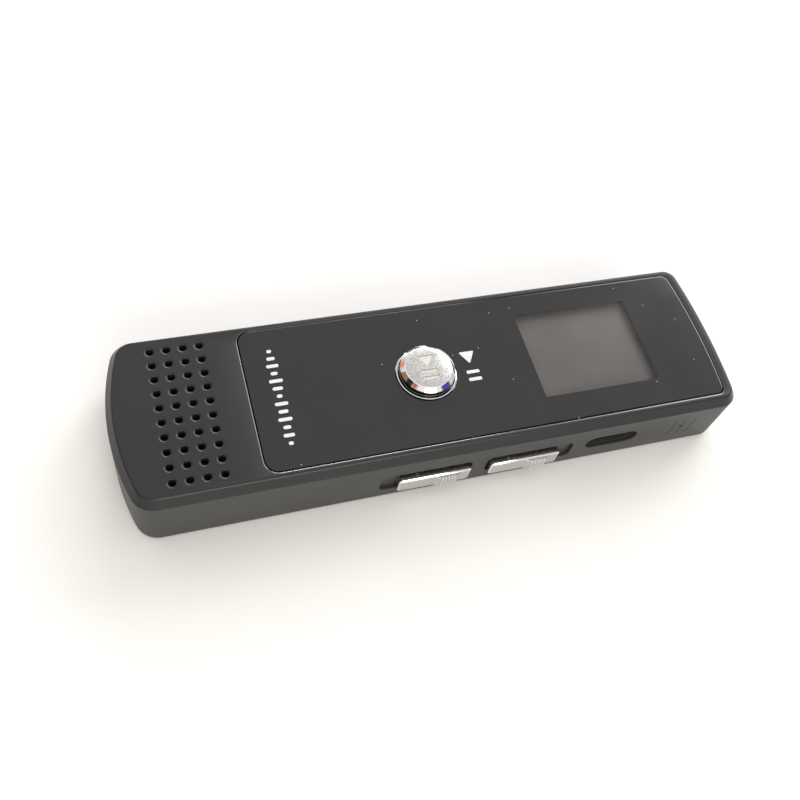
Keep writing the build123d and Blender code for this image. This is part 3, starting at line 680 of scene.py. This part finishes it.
mic_x, mic_z = (boot_low.x + boot_high.x) / 2, (boot_low.z + boot_high.z) / 2
knob_low, knob_high = node_box("record_knob")
knob_z = (knob_low.z + knob_high.z) / 2


def on_front(x, z, depth=0.0):
    """A matrix that stands a flat shape on the front side, depth behind its face."""
    return Matrix.Translation((x, front + depth, z)) @ Matrix.Rotation(radians(90), 4, "X")


def grown(length, height, margin):
    """How much to scale a loop on the front side by to widen it all round by margin."""
    return ((length + 2 * margin) / length, 1, (height + 2 * margin) / height)


def open_face(bm, place, axis=1):
    """Take out the one large flat face whose coordinate on the axis is place; return its edges."""
    level = (face for face in bm.faces if all(abs(vert.co[axis] - place) < 1e-3 for vert in face.verts))
    face = max(level, key=bmesh.types.BMFace.calc_area)
    edges = list(face.edges)
    bmesh.ops.delete(bm, geom=[face], context="FACES_ONLY")
    return edges


def front_opening(bm, x, z, length, height, corner, steps):
    """The mouth of an opening in the front side, wider than it by the softened edge."""
    margin = 2 * soft_edge
    return rounded_loop(bm, length + margin, height + margin, corner + soft_edge, on_front(x, z), steps)


def sink(bm, mouth, length, height, depth):
    """Take a mouth in over its softened edge, and then straight in to its depth."""
    full_length, full_height = length + 2 * soft_edge, height + 2 * soft_edge
    edge_depth = min(soft_edge, depth * 0.9)
    edge = pull(bm, mouth, (0, edge_depth, 0), grown(full_length, full_height, -soft_edge))
    return pull(bm, edge, (0, depth - edge_depth, 0))

# %% [markdown]
# The underside and walls come first, then the bosses and ribs, and last the openings of the front side.

# %% The lower case itself
def build_case():
    bm = bmesh.new()
    loops = stack(bm, case_plan, [
        (underside_bevel + 0.4, 0.0),
        (underside_bevel + 0.15, 0.0),
        (underside_bevel * 0.75, 0.06),
        (underside_bevel * 0.3, underside_bevel * 0.35),
        (underside_bevel * 0.06, underside_bevel * 0.75),
        (0.0, underside_bevel + 0.15),
        (0.0, underside_bevel + 0.4),
        (0.0, parting - 0.2),
        (0.0, parting - seam_gap),
        (seam_gap, parting),
        (side_wall, parting),
        (side_wall, floor_thickness),
    ])
    wells = [circle(bm, x, y, 0.0, well_radius, 32) for x, y in screw_places]
    fill(bm, loops[0], *wells)
    bosses = [circle(bm, x, y, floor_thickness, boss_radius, 32) for x, y in screw_places]
    rib_spots = [grille_x + side * (magnet_high.x - magnet_low.x) / 4 for side in (-1, 1)]
    ribs = [
        rounded_loop(bm, rib_thickness, rib_length, 0.1, Matrix.Translation((x, 0, floor_thickness)), 2)
        for x in rib_spots
    ]
    fill(bm, loops[-1], *bosses, *ribs)
    for rib in ribs:
        fill(bm, pull(bm, rib, (0, 0, magnet_low.z - floor_thickness - 0.1)))
    for well, boss in zip(wells, bosses):
        seat = pull(bm, well, (0, 0, head_top))
        shank = pull(bm, seat, grow=resized(well_radius, shank_radius))
        bore = pull(bm, shank, (0, 0, post_foot - head_top))
        fill(bm, pull(bm, boss, (0, 0, post_foot - floor_thickness)), bore)
    outside = open_face(bm, front)
    inside = open_face(bm, front + side_wall)
    pockets = [
        front_opening(bm, x, pocket_z, pocket_length, pocket_height, pocket_corner, 6)
        for x in pocket_places
    ]
    port = front_opening(bm, port_x, port_z, port_length, port_height, port_height / 2 - 0.001, 14)
    grooves = [
        front_opening(
            bm, mic_x + step * groove_pitch, mic_z, groove_width, groove_length,
            groove_width / 2 - 0.001, 6,
        )
        for step in (-1, 0, 1)
    ]
    fill(bm, outside, port, *pockets, *grooves)
    holes = []
    for x, pocket in zip(pocket_places, pockets):
        floor_edge = sink(bm, pocket, pocket_length, pocket_height, pocket_depth)
        neck_place = on_front(x, knob_z, pocket_depth)
        neck = rounded_loop(bm, neck_slot_length, neck_slot_height, 0.2, neck_place, 3)
        fill(bm, floor_edge, neck)
        holes.append(pull(bm, neck, (0, side_wall - pocket_depth, 0)))
    lip = sink(bm, port, port_length, port_height, port_lip)
    step_margin = (shell_pocket_length - port_length) / 2
    step = pull(bm, lip, grow=grown(port_length, port_height, step_margin))
    holes.append(pull(bm, step, (0, side_wall - port_lip, 0)))
    sound_place = on_front(mic_x, mic_z, groove_depth)
    sound = rounded_loop(bm, mic_hole, mic_hole, mic_hole / 2 - 0.001, sound_place, 6)
    feet = [sink(bm, groove, groove_width, groove_length, groove_depth) for groove in grooves]
    fill(bm, feet[0])
    fill(bm, feet[1], sound)
    fill(bm, feet[2])
    holes.append(pull(bm, sound, (0, side_wall - groove_depth, 0)))
    fill(bm, inside, *holes)
    # The tub wears the lighter-painted black.
    finish_piece(
        "lower_case", bm, "case", [case_black_painted_lighter], ["bottom_case"], 30
    )


build_case()

# %% [markdown]
# ## The screws
# Four small cross-head screws hold the two shells together from below. Their heads have a rounded edge
# and a real cross recess, cut here from a plus-shaped hole in the head's face.

# %% Screws
screw_recess = screw_low.z
shank_screw_radius = 0.8
cross_arm, cross_width, cross_depth = 0.85, 0.32, 0.45
head_soft = 0.15


def cross_loop(bm, x, y, z):
    """A plus-shaped loop: a square grid of nine faces without its four corners."""
    before = set(bm.edges)
    known = set(bm.faces)
    made = bmesh.ops.create_grid(bm, x_segments=3, y_segments=3, size=1.0)["verts"]
    inner = 1 / 3
    for vert in made:
        vert.co.x *= cross_arm if abs(vert.co.x) > 0.5 else cross_width / 2 / inner
        vert.co.y *= cross_arm if abs(vert.co.y) > 0.5 else cross_width / 2 / inner
    bmesh.ops.translate(bm, vec=(x, y, z), verts=made)
    patch = [face for face in bm.faces if face not in known]
    corners = [
        face for face in patch
        if min(abs(face.calc_center_median().x - x), abs(face.calc_center_median().y - y)) > cross_width / 2
    ]
    bmesh.ops.delete(bm, geom=corners, context="FACES")
    patch = [face for face in bm.faces if face not in known]
    outline = [edge for edge in bm.edges if edge not in before and edge.is_boundary]
    bmesh.ops.delete(bm, geom=patch, context="FACES_ONLY")
    spare = [edge for edge in bm.edges if edge not in before and edge not in outline]
    bmesh.ops.delete(bm, geom=spare, context="EDGES")
    return outline


def build_screws():
    face_radius, crest_radius = head_radius - head_soft, head_radius - head_soft * 0.3
    bm = bmesh.new()
    for x, y in screw_places:
        face_edge = circle(bm, x, y, screw_recess, face_radius, 32)
        cross = cross_loop(bm, x, y, screw_recess)
        fill(bm, face_edge, cross)
        fill(bm, pull(bm, cross, (0, 0, cross_depth)))
        crest = pull(bm, face_edge, (0, 0, head_soft * 0.4), resized(face_radius, crest_radius))
        side = pull(bm, crest, (0, 0, head_soft * 0.6), resized(crest_radius, head_radius))
        seat = pull(bm, side, (0, 0, head_top - screw_recess - head_soft))
        neck = pull(bm, seat, grow=resized(head_radius, shank_screw_radius))
        fill(bm, pull(bm, neck, (0, 0, screw_high.z - head_top)))
    finish_piece("screws", bm, "case", [screw_steel], ["case_screws"])


screw_steel = plated("screw_steel", (0.32, 0.32, 0.33, 1.0), 0.25, 0.38, 1.5e-6)
build_screws()

# %% [markdown]
# ## The lens and its window
# The lens is one clear sheet, printed black from behind except over the display. Here it is a closed sheet
# whose window faces have their own thin, see-through finish, so the display really shows from below it.

# %% Lens
lens_bottom, lens_edge = lens_low.z, 0.07
ring_step, ring_clearance = 0.29, 0.12
lens_hole_radius = ring_foot_radius - ring_step + ring_clearance
window_x, window_y = 24.9, 0.25
window_length, window_width, window_corner = 19.2, 15.1, 0.25
window_inner_margin = 1.0
lens_black, window_smoke = lens_finish(), window_finish()


def window_loop(bm, margin, z):
    place = Matrix.Translation((window_x, window_y, z))
    return rounded_loop(
        bm, window_length + 2 * margin, window_width + 2 * margin, window_corner + margin / 2, place, 4
    )


def pane(bm, loop):
    """Close the window's loop with faces of the see-through finish."""
    known = set(bm.faces)
    fill(bm, loop)
    paint(bm, known)


def build_lens():
    bm = bmesh.new()
    loops = stack(bm, lens_plan, [
        (0.0, lens_bottom),
        (0.0, top - lens_edge),
        (lens_edge * 0.3, top - lens_edge * 0.3),
        (lens_edge, top),
        (lens_edge + 0.15, top),
    ])
    upper = window_loop(bm, 0.0, top)
    lower = window_loop(bm, window_inner_margin, lens_bottom)
    mouth_radius = lens_hole_radius + lens_edge / 2
    hole = circle(bm, button_x, 0, top, mouth_radius, 96)
    fill(bm, loops[-1], upper, hole)
    throat = pull(bm, hole, (0, 0, -lens_edge / 2), resized(mouth_radius, lens_hole_radius))
    fill(bm, loops[0], lower, pull(bm, throat, (0, 0, lens_bottom - top + lens_edge / 2)))
    pane(bm, upper)
    pane(bm, lower)
    finish_piece(
        "lens", bm, "case", [lens_black, window_smoke], ["lens_panel"], 30
    )


build_lens()

# %% [markdown]
# ## The printed marks
# The lens carries white marks beside the speaker and the button. They are generic here: a row of sound
# level bars, and the usual play and pause signs. Each is a sheet of ink a few hundredths thick.

# %% Printed marks
ink_white = ink_finish()
ink_thickness = 0.02
level_left, level_right = -24.7, -22.7
level_far, level_near = 7.7, -7.7
level_shares = (0.35, 0.6, 0.9, 0.5, 1.0, 0.75, 0.4, 0.95, 0.7, 1.0, 0.55, 0.8, 0.35)
bar_width = 0.55
sign_left, sign_right = 4.5, 6.55
sign_tip_y, sign_bars_y = 1.95, (-0.95, -2.25)


def ink_slab(bm, loop):
    """Close a loop at the lens's face and give it the ink's thickness."""
    upper = pull(bm, loop, (0, 0, ink_thickness))
    fill(bm, loop)
    fill(bm, upper)


def build_level_bars():
    bm = bmesh.new()
    pitch = (level_far - level_near) / (len(level_shares) - 1)
    middle = (level_left + level_right) / 2
    for index, share in enumerate(level_shares):
        place = Matrix.Translation((middle, level_far - index * pitch, top))
        length = (level_right - level_left) * share
        ink_slab(bm, rounded_loop(bm, length, bar_width, bar_width * 0.45, place, 5))
    finish_piece("level_mark", bm, "case", [ink_white])


def build_play_signs():
    bm = bmesh.new()
    middle = (sign_left + sign_right) / 2
    height = sign_right - sign_left
    tip = circle(bm, middle, sign_tip_y, top, height * 0.7, 3)
    corners = list({vert for edge in tip for vert in edge.verts})
    bmesh.ops.rotate(
        bm, cent=(middle, sign_tip_y, top), matrix=Matrix.Rotation(radians(180), 3, "Z"), verts=corners
    )
    bmesh.ops.bevel(
        bm, geom=corners, offset=0.25, offset_type="OFFSET", segments=4, profile=0.5,
        affect="VERTICES", material=-1,
    )
    ink_slab(bm, list(bm.edges))
    for y in sign_bars_y:
        place = Matrix.Translation((middle, y, top))
        ink_slab(bm, rounded_loop(bm, height, bar_width, bar_width * 0.3, place, 4))
    finish_piece("play_signs", bm, "case", [ink_white])


build_level_bars()
build_play_signs()

# %% [markdown]
# ## The play button and its ring
# Both are turned parts, so each is a half-profile spun a full turn. The ring is a closed profile. The
# cap's profile stops at the edge of its top face, which is then filled round the sunk play and pause signs.

# %% Ring and button
turn_steps = 96
ring_wall, ring_soft = 0.28, 0.1
cap_radius, bevel_run, bevel_rise, sign_depth = 4.17, 0.65, 0.55, 0.15
stem_radius, flange_thickness, flange_gap = 1.6, 0.6, 0.06
bar_length, bar_height, bars_y = 2.6, 0.5, (-0.6, -1.75)
triangle_width, triangle_height, triangle_y = 2.6, 1.9, 1.15


def turned(bm, profile, x):
    """Spin a chain of (radius, height) points a full turn about an upright axis at x."""
    before = set(bm.verts)
    point = bm.verts.new((x + profile[0][0], 0, profile[0][1]))
    start = point
    edges = []
    for radius, z in profile[1:]:
        following = start if (radius, z) == profile[0] else bm.verts.new((x + radius, 0, z))
        edges.append(bm.edges.new((point, following)))
        point = following
    chain = [vert for vert in bm.verts if vert not in before]
    bmesh.ops.spin(
        bm, geom=chain + edges, cent=(x, 0, 0), axis=(0, 0, 1), angle=2 * pi,
        steps=turn_steps, use_merge=True, use_duplicate=False,
    )


def edges_at(bm, z):
    """The open edges at height z."""
    return [
        edge for edge in bm.edges
        if edge.is_boundary and all(abs(vert.co.z - z) < 1e-3 for vert in edge.verts)
    ]


def build_ring():
    bm = bmesh.new()
    outer = ring_foot_radius - ring_step
    inner = outer - ring_wall
    crown = ring_high.z
    turned(bm, [
        (inner, ring_low.z), (ring_foot_radius, ring_low.z), (ring_foot_radius, recess_floor),
        (outer, recess_floor), (outer, crown - ring_soft), (outer - 0.03, crown - 0.03),
        (outer - ring_soft, crown), (inner + ring_soft, crown), (inner + 0.03, crown - 0.03),
        (inner, crown - ring_soft), (inner, ring_low.z),
    ], button_x)
    finish_piece("ring", bm, "case", [ring_plating], ["button_ring"])


def sign_triangle(bm, z):
    """The sunk play sign: a flat side away from the front, and its point towards it."""
    before = set(bm.edges)
    made = bmesh.ops.create_circle(
        bm, cap_ends=False, segments=3, radius=1.0, matrix=Matrix.Rotation(radians(180), 4, "Z")
    )["verts"]
    low = min(vert.co.y for vert in made)
    high = max(vert.co.y for vert in made)
    bmesh.ops.translate(bm, vec=(0, -(low + high) / 2, 0), verts=made)
    size = (triangle_width / sqrt(3), triangle_height / (high - low), 1)
    bmesh.ops.scale(bm, vec=size, verts=made)
    bmesh.ops.translate(bm, vec=(button_x, triangle_y, z), verts=made)
    return new_edges(bm, before)

# %% [markdown]
# The cap is turned with its stem and hidden flange, and its signs are sunk into the satin top.

# %% The cap itself
def build_button():
    bm = bmesh.new()
    crown = button_high.z
    flange_radius = (button_high.x - button_low.x) / 2
    flange_top = cover_underside - flange_gap
    profile = [
        (stem_radius, button_low.z), (stem_radius, flange_top - flange_thickness),
        (flange_radius, flange_top - flange_thickness), (flange_radius, flange_top),
        (cap_radius, flange_top), (cap_radius, crown - bevel_rise - 0.07),
        (cap_radius - 0.02, crown - bevel_rise), (cap_radius - 0.08, crown - bevel_rise + 0.06),
        (cap_radius - bevel_run + 0.1, crown - 0.09), (cap_radius - bevel_run + 0.03, crown - 0.03),
        (cap_radius - bevel_run - 0.06, crown),
    ]
    turned(bm, profile, button_x)
    fill(bm, edges_at(bm, button_low.z))
    rim = edges_at(bm, crown)
    known = set(bm.faces)
    # The cap's side, down inside the ring, gets a dark plating: painted shade for the narrow gap between cap
    # and ring.
    for face in known:
        middle = face.calc_center_median().z
        if flange_top < middle < crown - bevel_rise - 0.08:
            face.material_index = 2
    signs = [sign_triangle(bm, crown)] + [
        rounded_loop(bm, bar_length, bar_height, 0.08, Matrix.Translation((button_x, y, crown)), 3)
        for y in bars_y
    ]
    fill(bm, rim, *signs)
    for sign in signs:
        fill(bm, pull(bm, sign, (0, 0, -sign_depth)))
    for face in set(bm.faces) - known:
        sunk = abs(face.calc_center_median().z - crown + sign_depth) < 1e-3
        face.material_index = 3 if sunk else 1
    finish_piece(
        "button", bm, "play_button", [ring_plating, cap_satin, cap_side_painted_shade, sign_nickel],
        ["play_button"], 25,
    )


cap_satin = satin_finish()
# A dark copy of the plating, painted shade for the cap's side inside the ring.
cap_side_painted_shade = plated("cap_side_painted_shade", (0.1, 0.1, 0.105, 1.0), 0.08, 0.14, 1.0e-6)
sign_nickel = plated("sign_nickel", (0.66, 0.64, 0.56, 1.0), 0.28, 0.34, 1.0e-6)
build_ring()
build_button()

# %% [markdown]
# ## The two slide knobs
# Each knob is a thin plated bar whose middle part rises to a ribbed grip, with a neck that goes through
# the wall. It is grown outwards from its back: side, bevelled edge, flat face, grip and ribs.

# %% Slide knobs
knob_back_depth = 0.54
bar_proud, knob_bevel, knob_corner = 0.8, 0.2, 0.4
grip_rise, grip_base, grip_top, grip_offset = 0.41, 4.1, 2.5, 7.5
rib_count, rib_pitch, rib_rise = 5, 0.48, 0.24
mark_offset, mark_length, mark_drop = 2.9, 0.5, 0.3
neck_length, neck_height = 6.0, 1.8


def build_knob(name, node, body):
    low, high = node_box(node)
    x, z = (low.x + high.x) / 2, (low.z + high.z) / 2
    length, height = high.x - low.x, high.z - low.z
    carrier_front = high.y - front
    bm = bmesh.new()
    back = rounded_loop(bm, length, height, knob_corner, on_front(x, z, knob_back_depth), 5)
    neck = rounded_loop(bm, neck_length, neck_height, 0.15, on_front(x, z, knob_back_depth), 3)
    fill(bm, back, neck)
    fill(bm, pull(bm, neck, (0, carrier_front - knob_back_depth, 0)))
    side = pull(bm, back, (0, knob_bevel - bar_proud - knob_back_depth, 0))
    # The bevel takes the ring's plating: its polish is real, and its colour, brighter than the knob's, is a
    # painted highlight along the edge.
    known = set(bm.faces)
    shelf = pull(bm, side, (0, -knob_bevel * 0.9, 0), grown(length, height, -knob_bevel * 0.9))
    paint(bm, known)
    inner_length, inner_height = length - knob_bevel * 1.8, height - knob_bevel * 1.8
    face_edge = pull(bm, shelf, (0, -knob_bevel * 0.1, 0), grown(inner_length, inner_height, -0.06))
    grip_x = low.x + grip_offset
    grip_height = inner_height - 0.2
    grip = rounded_loop(bm, grip_base, grip_height, 0.12, on_front(grip_x, z, -bar_proud), 3)
    fill(bm, face_edge, grip)
    crest = pull(bm, grip, (0, -grip_rise, 0), (grip_top / grip_base, 1, 0.97))
    ribs = [
        rounded_loop(
            bm, 0.26, grip_height * 0.97 - 0.1, 0.08,
            on_front(grip_x + (index - (rib_count - 1) / 2) * rib_pitch, z, -bar_proud - grip_rise), 3,
        )
        for index in range(rib_count)
    ]
    fill(bm, crest, *ribs)
    # The ribs take the same brighter plating: real polish, and a painted highlight on the grip.
    known = set(bm.faces)
    for rib in ribs:
        fill(bm, pull(bm, rib, (0, -rib_rise, 0), (0.55, 1, 0.96)))
    paint(bm, known)
    brow = open_face(bm, high.z, axis=2)
    mark_place = Matrix.Translation((low.x + mark_offset, front - 0.1, high.z))
    mark = rounded_loop(bm, mark_length, mark_length * 0.8, 0.1, mark_place, 3)
    fill(bm, brow, mark)
    fill(bm, pull(bm, mark, (0, 0, -mark_drop), (0.6, 0.6, 1)))
    finish_piece(name, bm, body, [knob_plating, ring_plating], [node], 25)


build_knob("record_slide", "record_knob", "record_slider")
build_knob("power_slide", "power_knob", "power_slider")

# %% [markdown]
# ## The charging port
# A drawn metal shell with a dark tongue inside it. Both sit behind the opening in the front side, and are
# grown from stadium-shaped loops.

# %% Port
shell_sheet = 0.3
tongue_base, tongue_reach = 1.6, 4.9
tongue_length, tongue_thickness = 6.7, 0.7


def build_port_shell():
    length, height = shell_high.x - shell_low.x, shell_high.z - shell_low.z
    depth = shell_low.y - front
    reach = shell_high.y - shell_low.y
    bm = bmesh.new()
    outer = rounded_loop(bm, length, height, height / 2 - 0.001, on_front(port_x, port_z, depth), 12)
    hollow_height = height - 2 * shell_sheet
    hollow = rounded_loop(
        bm, length - 2 * shell_sheet, hollow_height, hollow_height / 2 - 0.001,
        on_front(port_x, port_z, depth), 12,
    )
    fill(bm, outer, hollow)
    fill(bm, pull(bm, outer, (0, reach, 0)), pull(bm, hollow, (0, reach, 0)))
    finish_piece("port_lining", bm, "case", [port_steel], ["port_shell"])


def build_port_tongue():
    low, high = node_box("port_tongue")
    depth = high.y - front
    bm = bmesh.new()
    height = high.z - low.z
    back = rounded_loop(
        bm, high.x - low.x, height, height / 2 - 0.001, on_front(port_x, port_z, depth), 12
    )
    face_edge = pull(bm, back, (0, -tongue_base, 0))
    fill(bm, back)
    root = rounded_loop(
        bm, tongue_length, tongue_thickness, 0.1, on_front(port_x, port_z, depth - tongue_base), 3
    )
    fill(bm, face_edge, root)
    nose = pull(bm, root, (0, -tongue_reach + 0.2, 0))
    fill(bm, pull(bm, nose, (0, -0.2, 0), grown(tongue_length, tongue_thickness, -0.12)))
    finish_piece(
        "port_blade", bm, "case", [connector_black], ["port_tongue"]
    )


port_steel = plated("port_steel", (0.3, 0.3, 0.305, 1.0), 0.35, 0.45, 1.0e-6)
connector_black = moulded("connector_black", grey(0.012), grey(0.02), 0.5)
build_port_shell()
build_port_tongue()

# %% [markdown]
# ## The parts inside
# Everything under the shells keeps the shape it was packed with, and only gets a finish. Most of it is
# never seen, apart from the display glass under the window and the cloth behind the speaker holes.

# %% Finishes for the parts inside
def woven_cloth(name, dark, light, threads):
    """Fine cloth: two sets of threads at right angles."""
    material, shader, wire = new_material(name, Roughness=0.85)
    place = object_place(wire)
    warp, weft = (
        wire.node(
            "ShaderNodeTexWave", {"wave_type": "BANDS", "bands_direction": axis}, output=1,
            Vector=place, Scale=threads,
        )
        for axis in ("X", "Y")
    )
    weave = warp * 0.5 + weft * 0.5
    feed(wire, shader, "Base Color", two_tone(wire, weave, dark, light))
    roughen(wire, shader, weave, 12.0e-6)
    return material


def display_grey(name):
    """A switched-off display: a flat warm grey under glass, a little uneven."""
    material, shader, wire = new_material(name, IOR=1.5)
    cloud = grain(wire, 120, 2.0)
    fine = grain(wire, 6000, 2.0)
    tone = two_tone(wire, cloud, (0.34, 0.312, 0.295, 1), (0.41, 0.366, 0.335, 1))
    feed(wire, shader, "Base Color", tone)
    feed(wire, shader, "Roughness", spread(wire, fine, 0.24, 0.27))
    return material


def board_mask(name):
    """Solder mask over copper: tracks a shade lighter than the ground, and small tinned pads."""
    material, shader, wire = new_material(name, IOR=1.5)
    place = object_place(wire)
    tracks = wire.node(
        "ShaderNodeTexWave", {"wave_type": "BANDS", "bands_direction": "DIAGONAL"}, output=1,
        Vector=place, Scale=260.0, Distortion=4.0, _4=1.5,
    )
    pads = wire.node("ShaderNodeTexVoronoi", {"feature": "F1"}, Vector=place, Scale=700.0)
    pad = pads < 0.2
    green = two_tone(wire, tracks, (0.004, 0.05, 0.018, 1), (0.012, 0.11, 0.04, 1))
    feed(wire, shader, "Base Color", over(wire, pad, green, (0.72, 0.7, 0.64, 1)))
    feed(wire, shader, "Metallic", pad)
    feed(wire, shader, "Roughness", 0.35 - pad * 0.1)
    roughen(wire, shader, tracks, 15.0e-6)
    return material


inside_finishes = [
    (moulded("foam", grey(0.01), grey(0.022), 0.9, 3500, 30.0e-6),
     ["display_gasket", "display_cushion", "speaker_gasket"]),
    (moulded("switch_plastic", grey(0.015), grey(0.028), 0.45),
     ["push_switch_plunger", "record_carrier", "record_switch_lever", "power_carrier", "power_switch_lever"]),
    (moulded("chip_black", grey(0.016), grey(0.03), 0.55, 9000, 3.0e-6),
     ["main_processor", "flash_memory", "audio_amplifier", "voltage_regulator"]),
    (plated("switch_can", (0.62, 0.61, 0.59, 1), 0.2, 0.34, 2.0e-6, (1, 6, 1)),
     ["push_switch_body", "record_switch_body", "power_switch_body", "clock_crystal"]),
    (plated("spring_steel", (0.58, 0.57, 0.55, 1), 0.15, 0.26, 1.0e-6, (6, 1, 1)), ["push_switch_dome"]),
    (moulded("lead_covering", (0.22, 0.012, 0.01, 1), (0.34, 0.02, 0.016, 1), 0.4),
     ["battery_leads", "speaker_leads"]),
    (moulded("adhesive_film", grey(0.01), grey(0.018), 0.6), ["lens_adhesive"]),
    (display_grey("display_grey"), ["display_glass"]),
    (moulded("light_guide", grey(0.7), grey(0.8), 0.35), ["display_backlight"]),
    (moulded("flex_film", (0.3, 0.13, 0.02, 1), (0.42, 0.2, 0.035, 1), 0.3), ["display_flex"]),
    (moulded("connector_cream", (0.62, 0.58, 0.46, 1), (0.7, 0.66, 0.55, 1), 0.5), ["flex_connector"]),
    (board_mask("board_green"), ["circuit_board"]),
    (board_mask("guard_board_green"), ["battery_guard_board"]),
    (moulded("capacitor_tan", (0.34, 0.2, 0.1, 1), (0.46, 0.29, 0.16, 1), 0.4), ["chip_capacitors"]),
    (moulded("boot_rubber", grey(0.012), grey(0.022), 0.75, 4000, 6.0e-6), ["microphone_boot"]),
    (plated("capsule_can", (0.66, 0.65, 0.63, 1), 0.22, 0.34, 2.0e-6), ["microphone_capsule"]),
    (plated("battery_foil", (0.5, 0.5, 0.51, 1), 0.25, 0.4, 12.0e-6), ["battery_cell"]),
    (moulded("tape_amber", (0.5, 0.24, 0.03, 1), (0.6, 0.31, 0.05, 1), 0.3), ["battery_tape"]),
    (woven_cloth("speaker_cloth", grey(0.004), grey(0.02), 2600.0), ["speaker_mesh"]),
    (moulded("speaker_plastic", grey(0.02), grey(0.035), 0.5), ["speaker_frame"]),
    (moulded("cone_film", (0.5, 0.42, 0.2, 1), (0.62, 0.53, 0.28, 1), 0.3), ["speaker_cone"]),
    (plated("magnet_steel", (0.45, 0.45, 0.46, 1), 0.3, 0.42, 3.0e-6), ["speaker_magnet"]),
]
for finish, nodes in inside_finishes:
    for name in nodes:
        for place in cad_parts[name].material_slots:
            place.material = finish
bare = [name for name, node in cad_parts.items() if not node.material_slots]
print("inside finishes", len(inside_finishes), "nodes without a slot", bare)

# %% [markdown]
# ## The table top
# A broad pale sheet carries the soft shadow; it isn't part of the object.

# %% Floor
floor_size, floor_gap = 3.0, 0.00003
floor_material, floor_shader, floor_wire = new_material("floor_paper", Roughness=0.9)
fibres = grain(floor_wire, 40, 4.0)
paper = two_tone(floor_wire, fibres, (0.86, 0.85, 0.83, 1), (0.88, 0.87, 0.85, 1))
feed(floor_wire, floor_shader, "Base Color", paper)
floor_bm = bmesh.new()
bmesh.ops.create_grid(floor_bm, x_segments=1, y_segments=1, size=floor_size / 2)
floor_mesh = bpy.data.meshes.new("floor")
floor_bm.to_mesh(floor_mesh)
floor_bm.free()
floor_mesh.materials.append(floor_material)
floor = bpy.data.objects.new("floor", floor_mesh)
scene.collection.objects.link(floor)
floor.location.z = -floor_gap
print("floor", floor_size, "m across")
